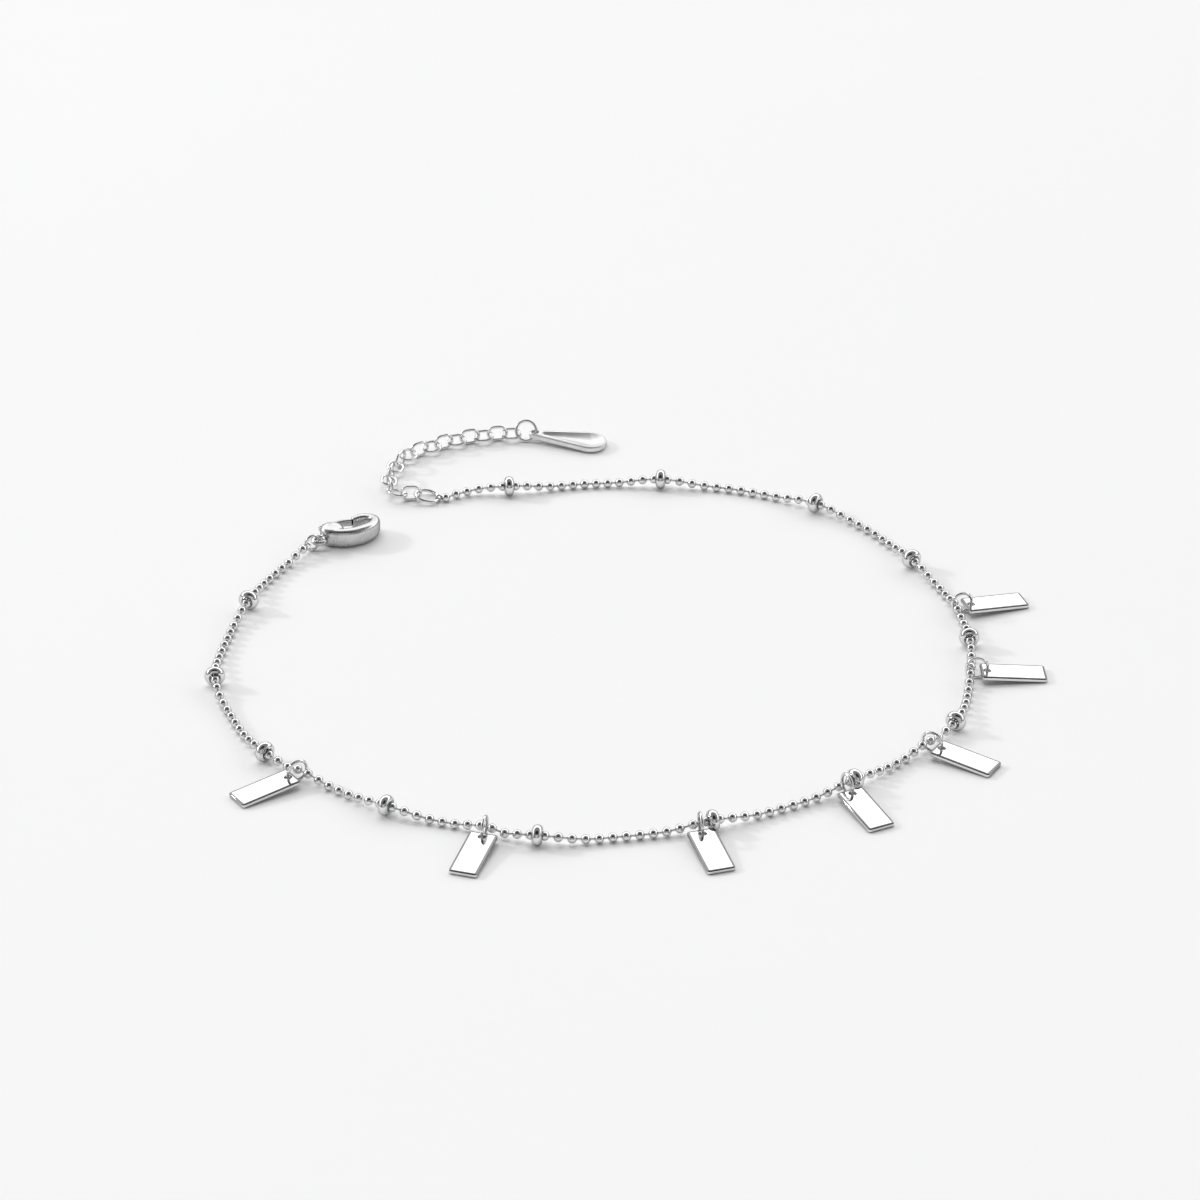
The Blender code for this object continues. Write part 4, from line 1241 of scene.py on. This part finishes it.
def studio_dome():
    """World that is bright behind and at the sides, dark overhead and low down."""
    world = bpy.data.worlds.new("studio")
    world.use_nodes = True
    tree = world.node_tree
    way = tree.nodes.new("ShaderNodeTexCoord").outputs["Generated"]
    height = add_node(tree, "ShaderNodeSeparateXYZ", {"Vector": way}).outputs["Z"]
    ceiling = fade(tree, nearness(tree, way, CEILING_WAY), CEILING_EDGE, 1.0, CEILING_LEVEL)
    core = fade(tree, nearness(tree, way, CORE_WAY), CORE_EDGE, 1.0, CORE_LEVEL)
    horizon = fade(tree, height, HORIZON_EDGE, HORIZON_LEVEL, 1.0)
    front = fade(tree, nearness(tree, way, FRONT_WAY), FRONT_EDGE, 0.0, FRONT_LEVEL)
    upper = maths(tree, "MULTIPLY", maths(tree, "MULTIPLY", ceiling, core), horizon)
    strength = maths(tree, "MULTIPLY", maths(tree, "ADD", upper, front), DOME_LEVEL)
    background = tree.nodes["Background"]
    tree.links.new(strength, background.inputs["Strength"])
    background.inputs["Color"].default_value = grey(1.0)
    return world


bpy.context.scene.world = studio_dome()
bpy.context.scene.view_settings.view_transform = "Standard"

# %% The low lamp and the soft fill
LAMP_WAY = Vector((-0.85, 0.34, 0.41)).normalized()
LAMP_DISTANCE = 2.7
LAMP_SIZE = 0.21
LAMP_POWER = 18.0
FILL_WAY = Vector((-0.15, 0.25, 0.95)).normalized()
FILL_DISTANCE = 3.2
FILL_SIZE = 3.2
FILL_POWER = 42.5


def round_lamp(name, way, distance, size, power):
    """A round lamp that shines at the bracelet from a direction."""
    data = bpy.data.lights.new(name, "AREA")
    data.shape = "DISK"
    data.size = size
    data.energy = power
    lamp = bpy.data.objects.new(name, data)
    lamp.location = way * distance
    lamp.rotation_euler = way.to_track_quat("Z", "Y").to_euler()
    bpy.context.scene.collection.objects.link(lamp)
    return lamp


round_lamp("low_lamp", LAMP_WAY, LAMP_DISTANCE, LAMP_SIZE, LAMP_POWER)
fill = round_lamp("soft_fill", FILL_WAY, FILL_DISTANCE, FILL_SIZE, FILL_POWER)
fill.visible_glossy = False
print("Lamp height over the surface, degrees:", round(math.degrees(math.asin(LAMP_WAY.z))))

# %% [markdown]
# ## The camera
# The chain's even pitch gives the picture's scale, and the flattened rings give the
# height of the view: thirty degrees. A long lens far away keeps the near and far
# balls almost the same size.

# %% Camera
VIEW_ELEVATION_DEG = 30.0
VIEW_DISTANCE = 626.7 * MM
VIEW_TARGET = Vector((-3.04, 9.73, 0.0)) * MM
VIEW_LENS = 157.8
VIEW_SENSOR = 36.0
VIEW_CLIP = (0.01, 20.0)

camera_data = bpy.data.cameras.new("camera")
camera_data.lens = VIEW_LENS
camera_data.sensor_width = VIEW_SENSOR
camera_data.clip_start, camera_data.clip_end = VIEW_CLIP
camera = bpy.data.objects.new("camera", camera_data)
elevation = math.radians(VIEW_ELEVATION_DEG)
view_way = Vector((0.0, -math.cos(elevation), math.sin(elevation)))
camera.location = VIEW_TARGET + view_way * VIEW_DISTANCE
camera.rotation_euler = view_way.to_track_quat("Z", "Y").to_euler()
bpy.context.scene.collection.objects.link(camera)
bpy.context.scene.camera = camera

# %% Finish
print("Scene built")
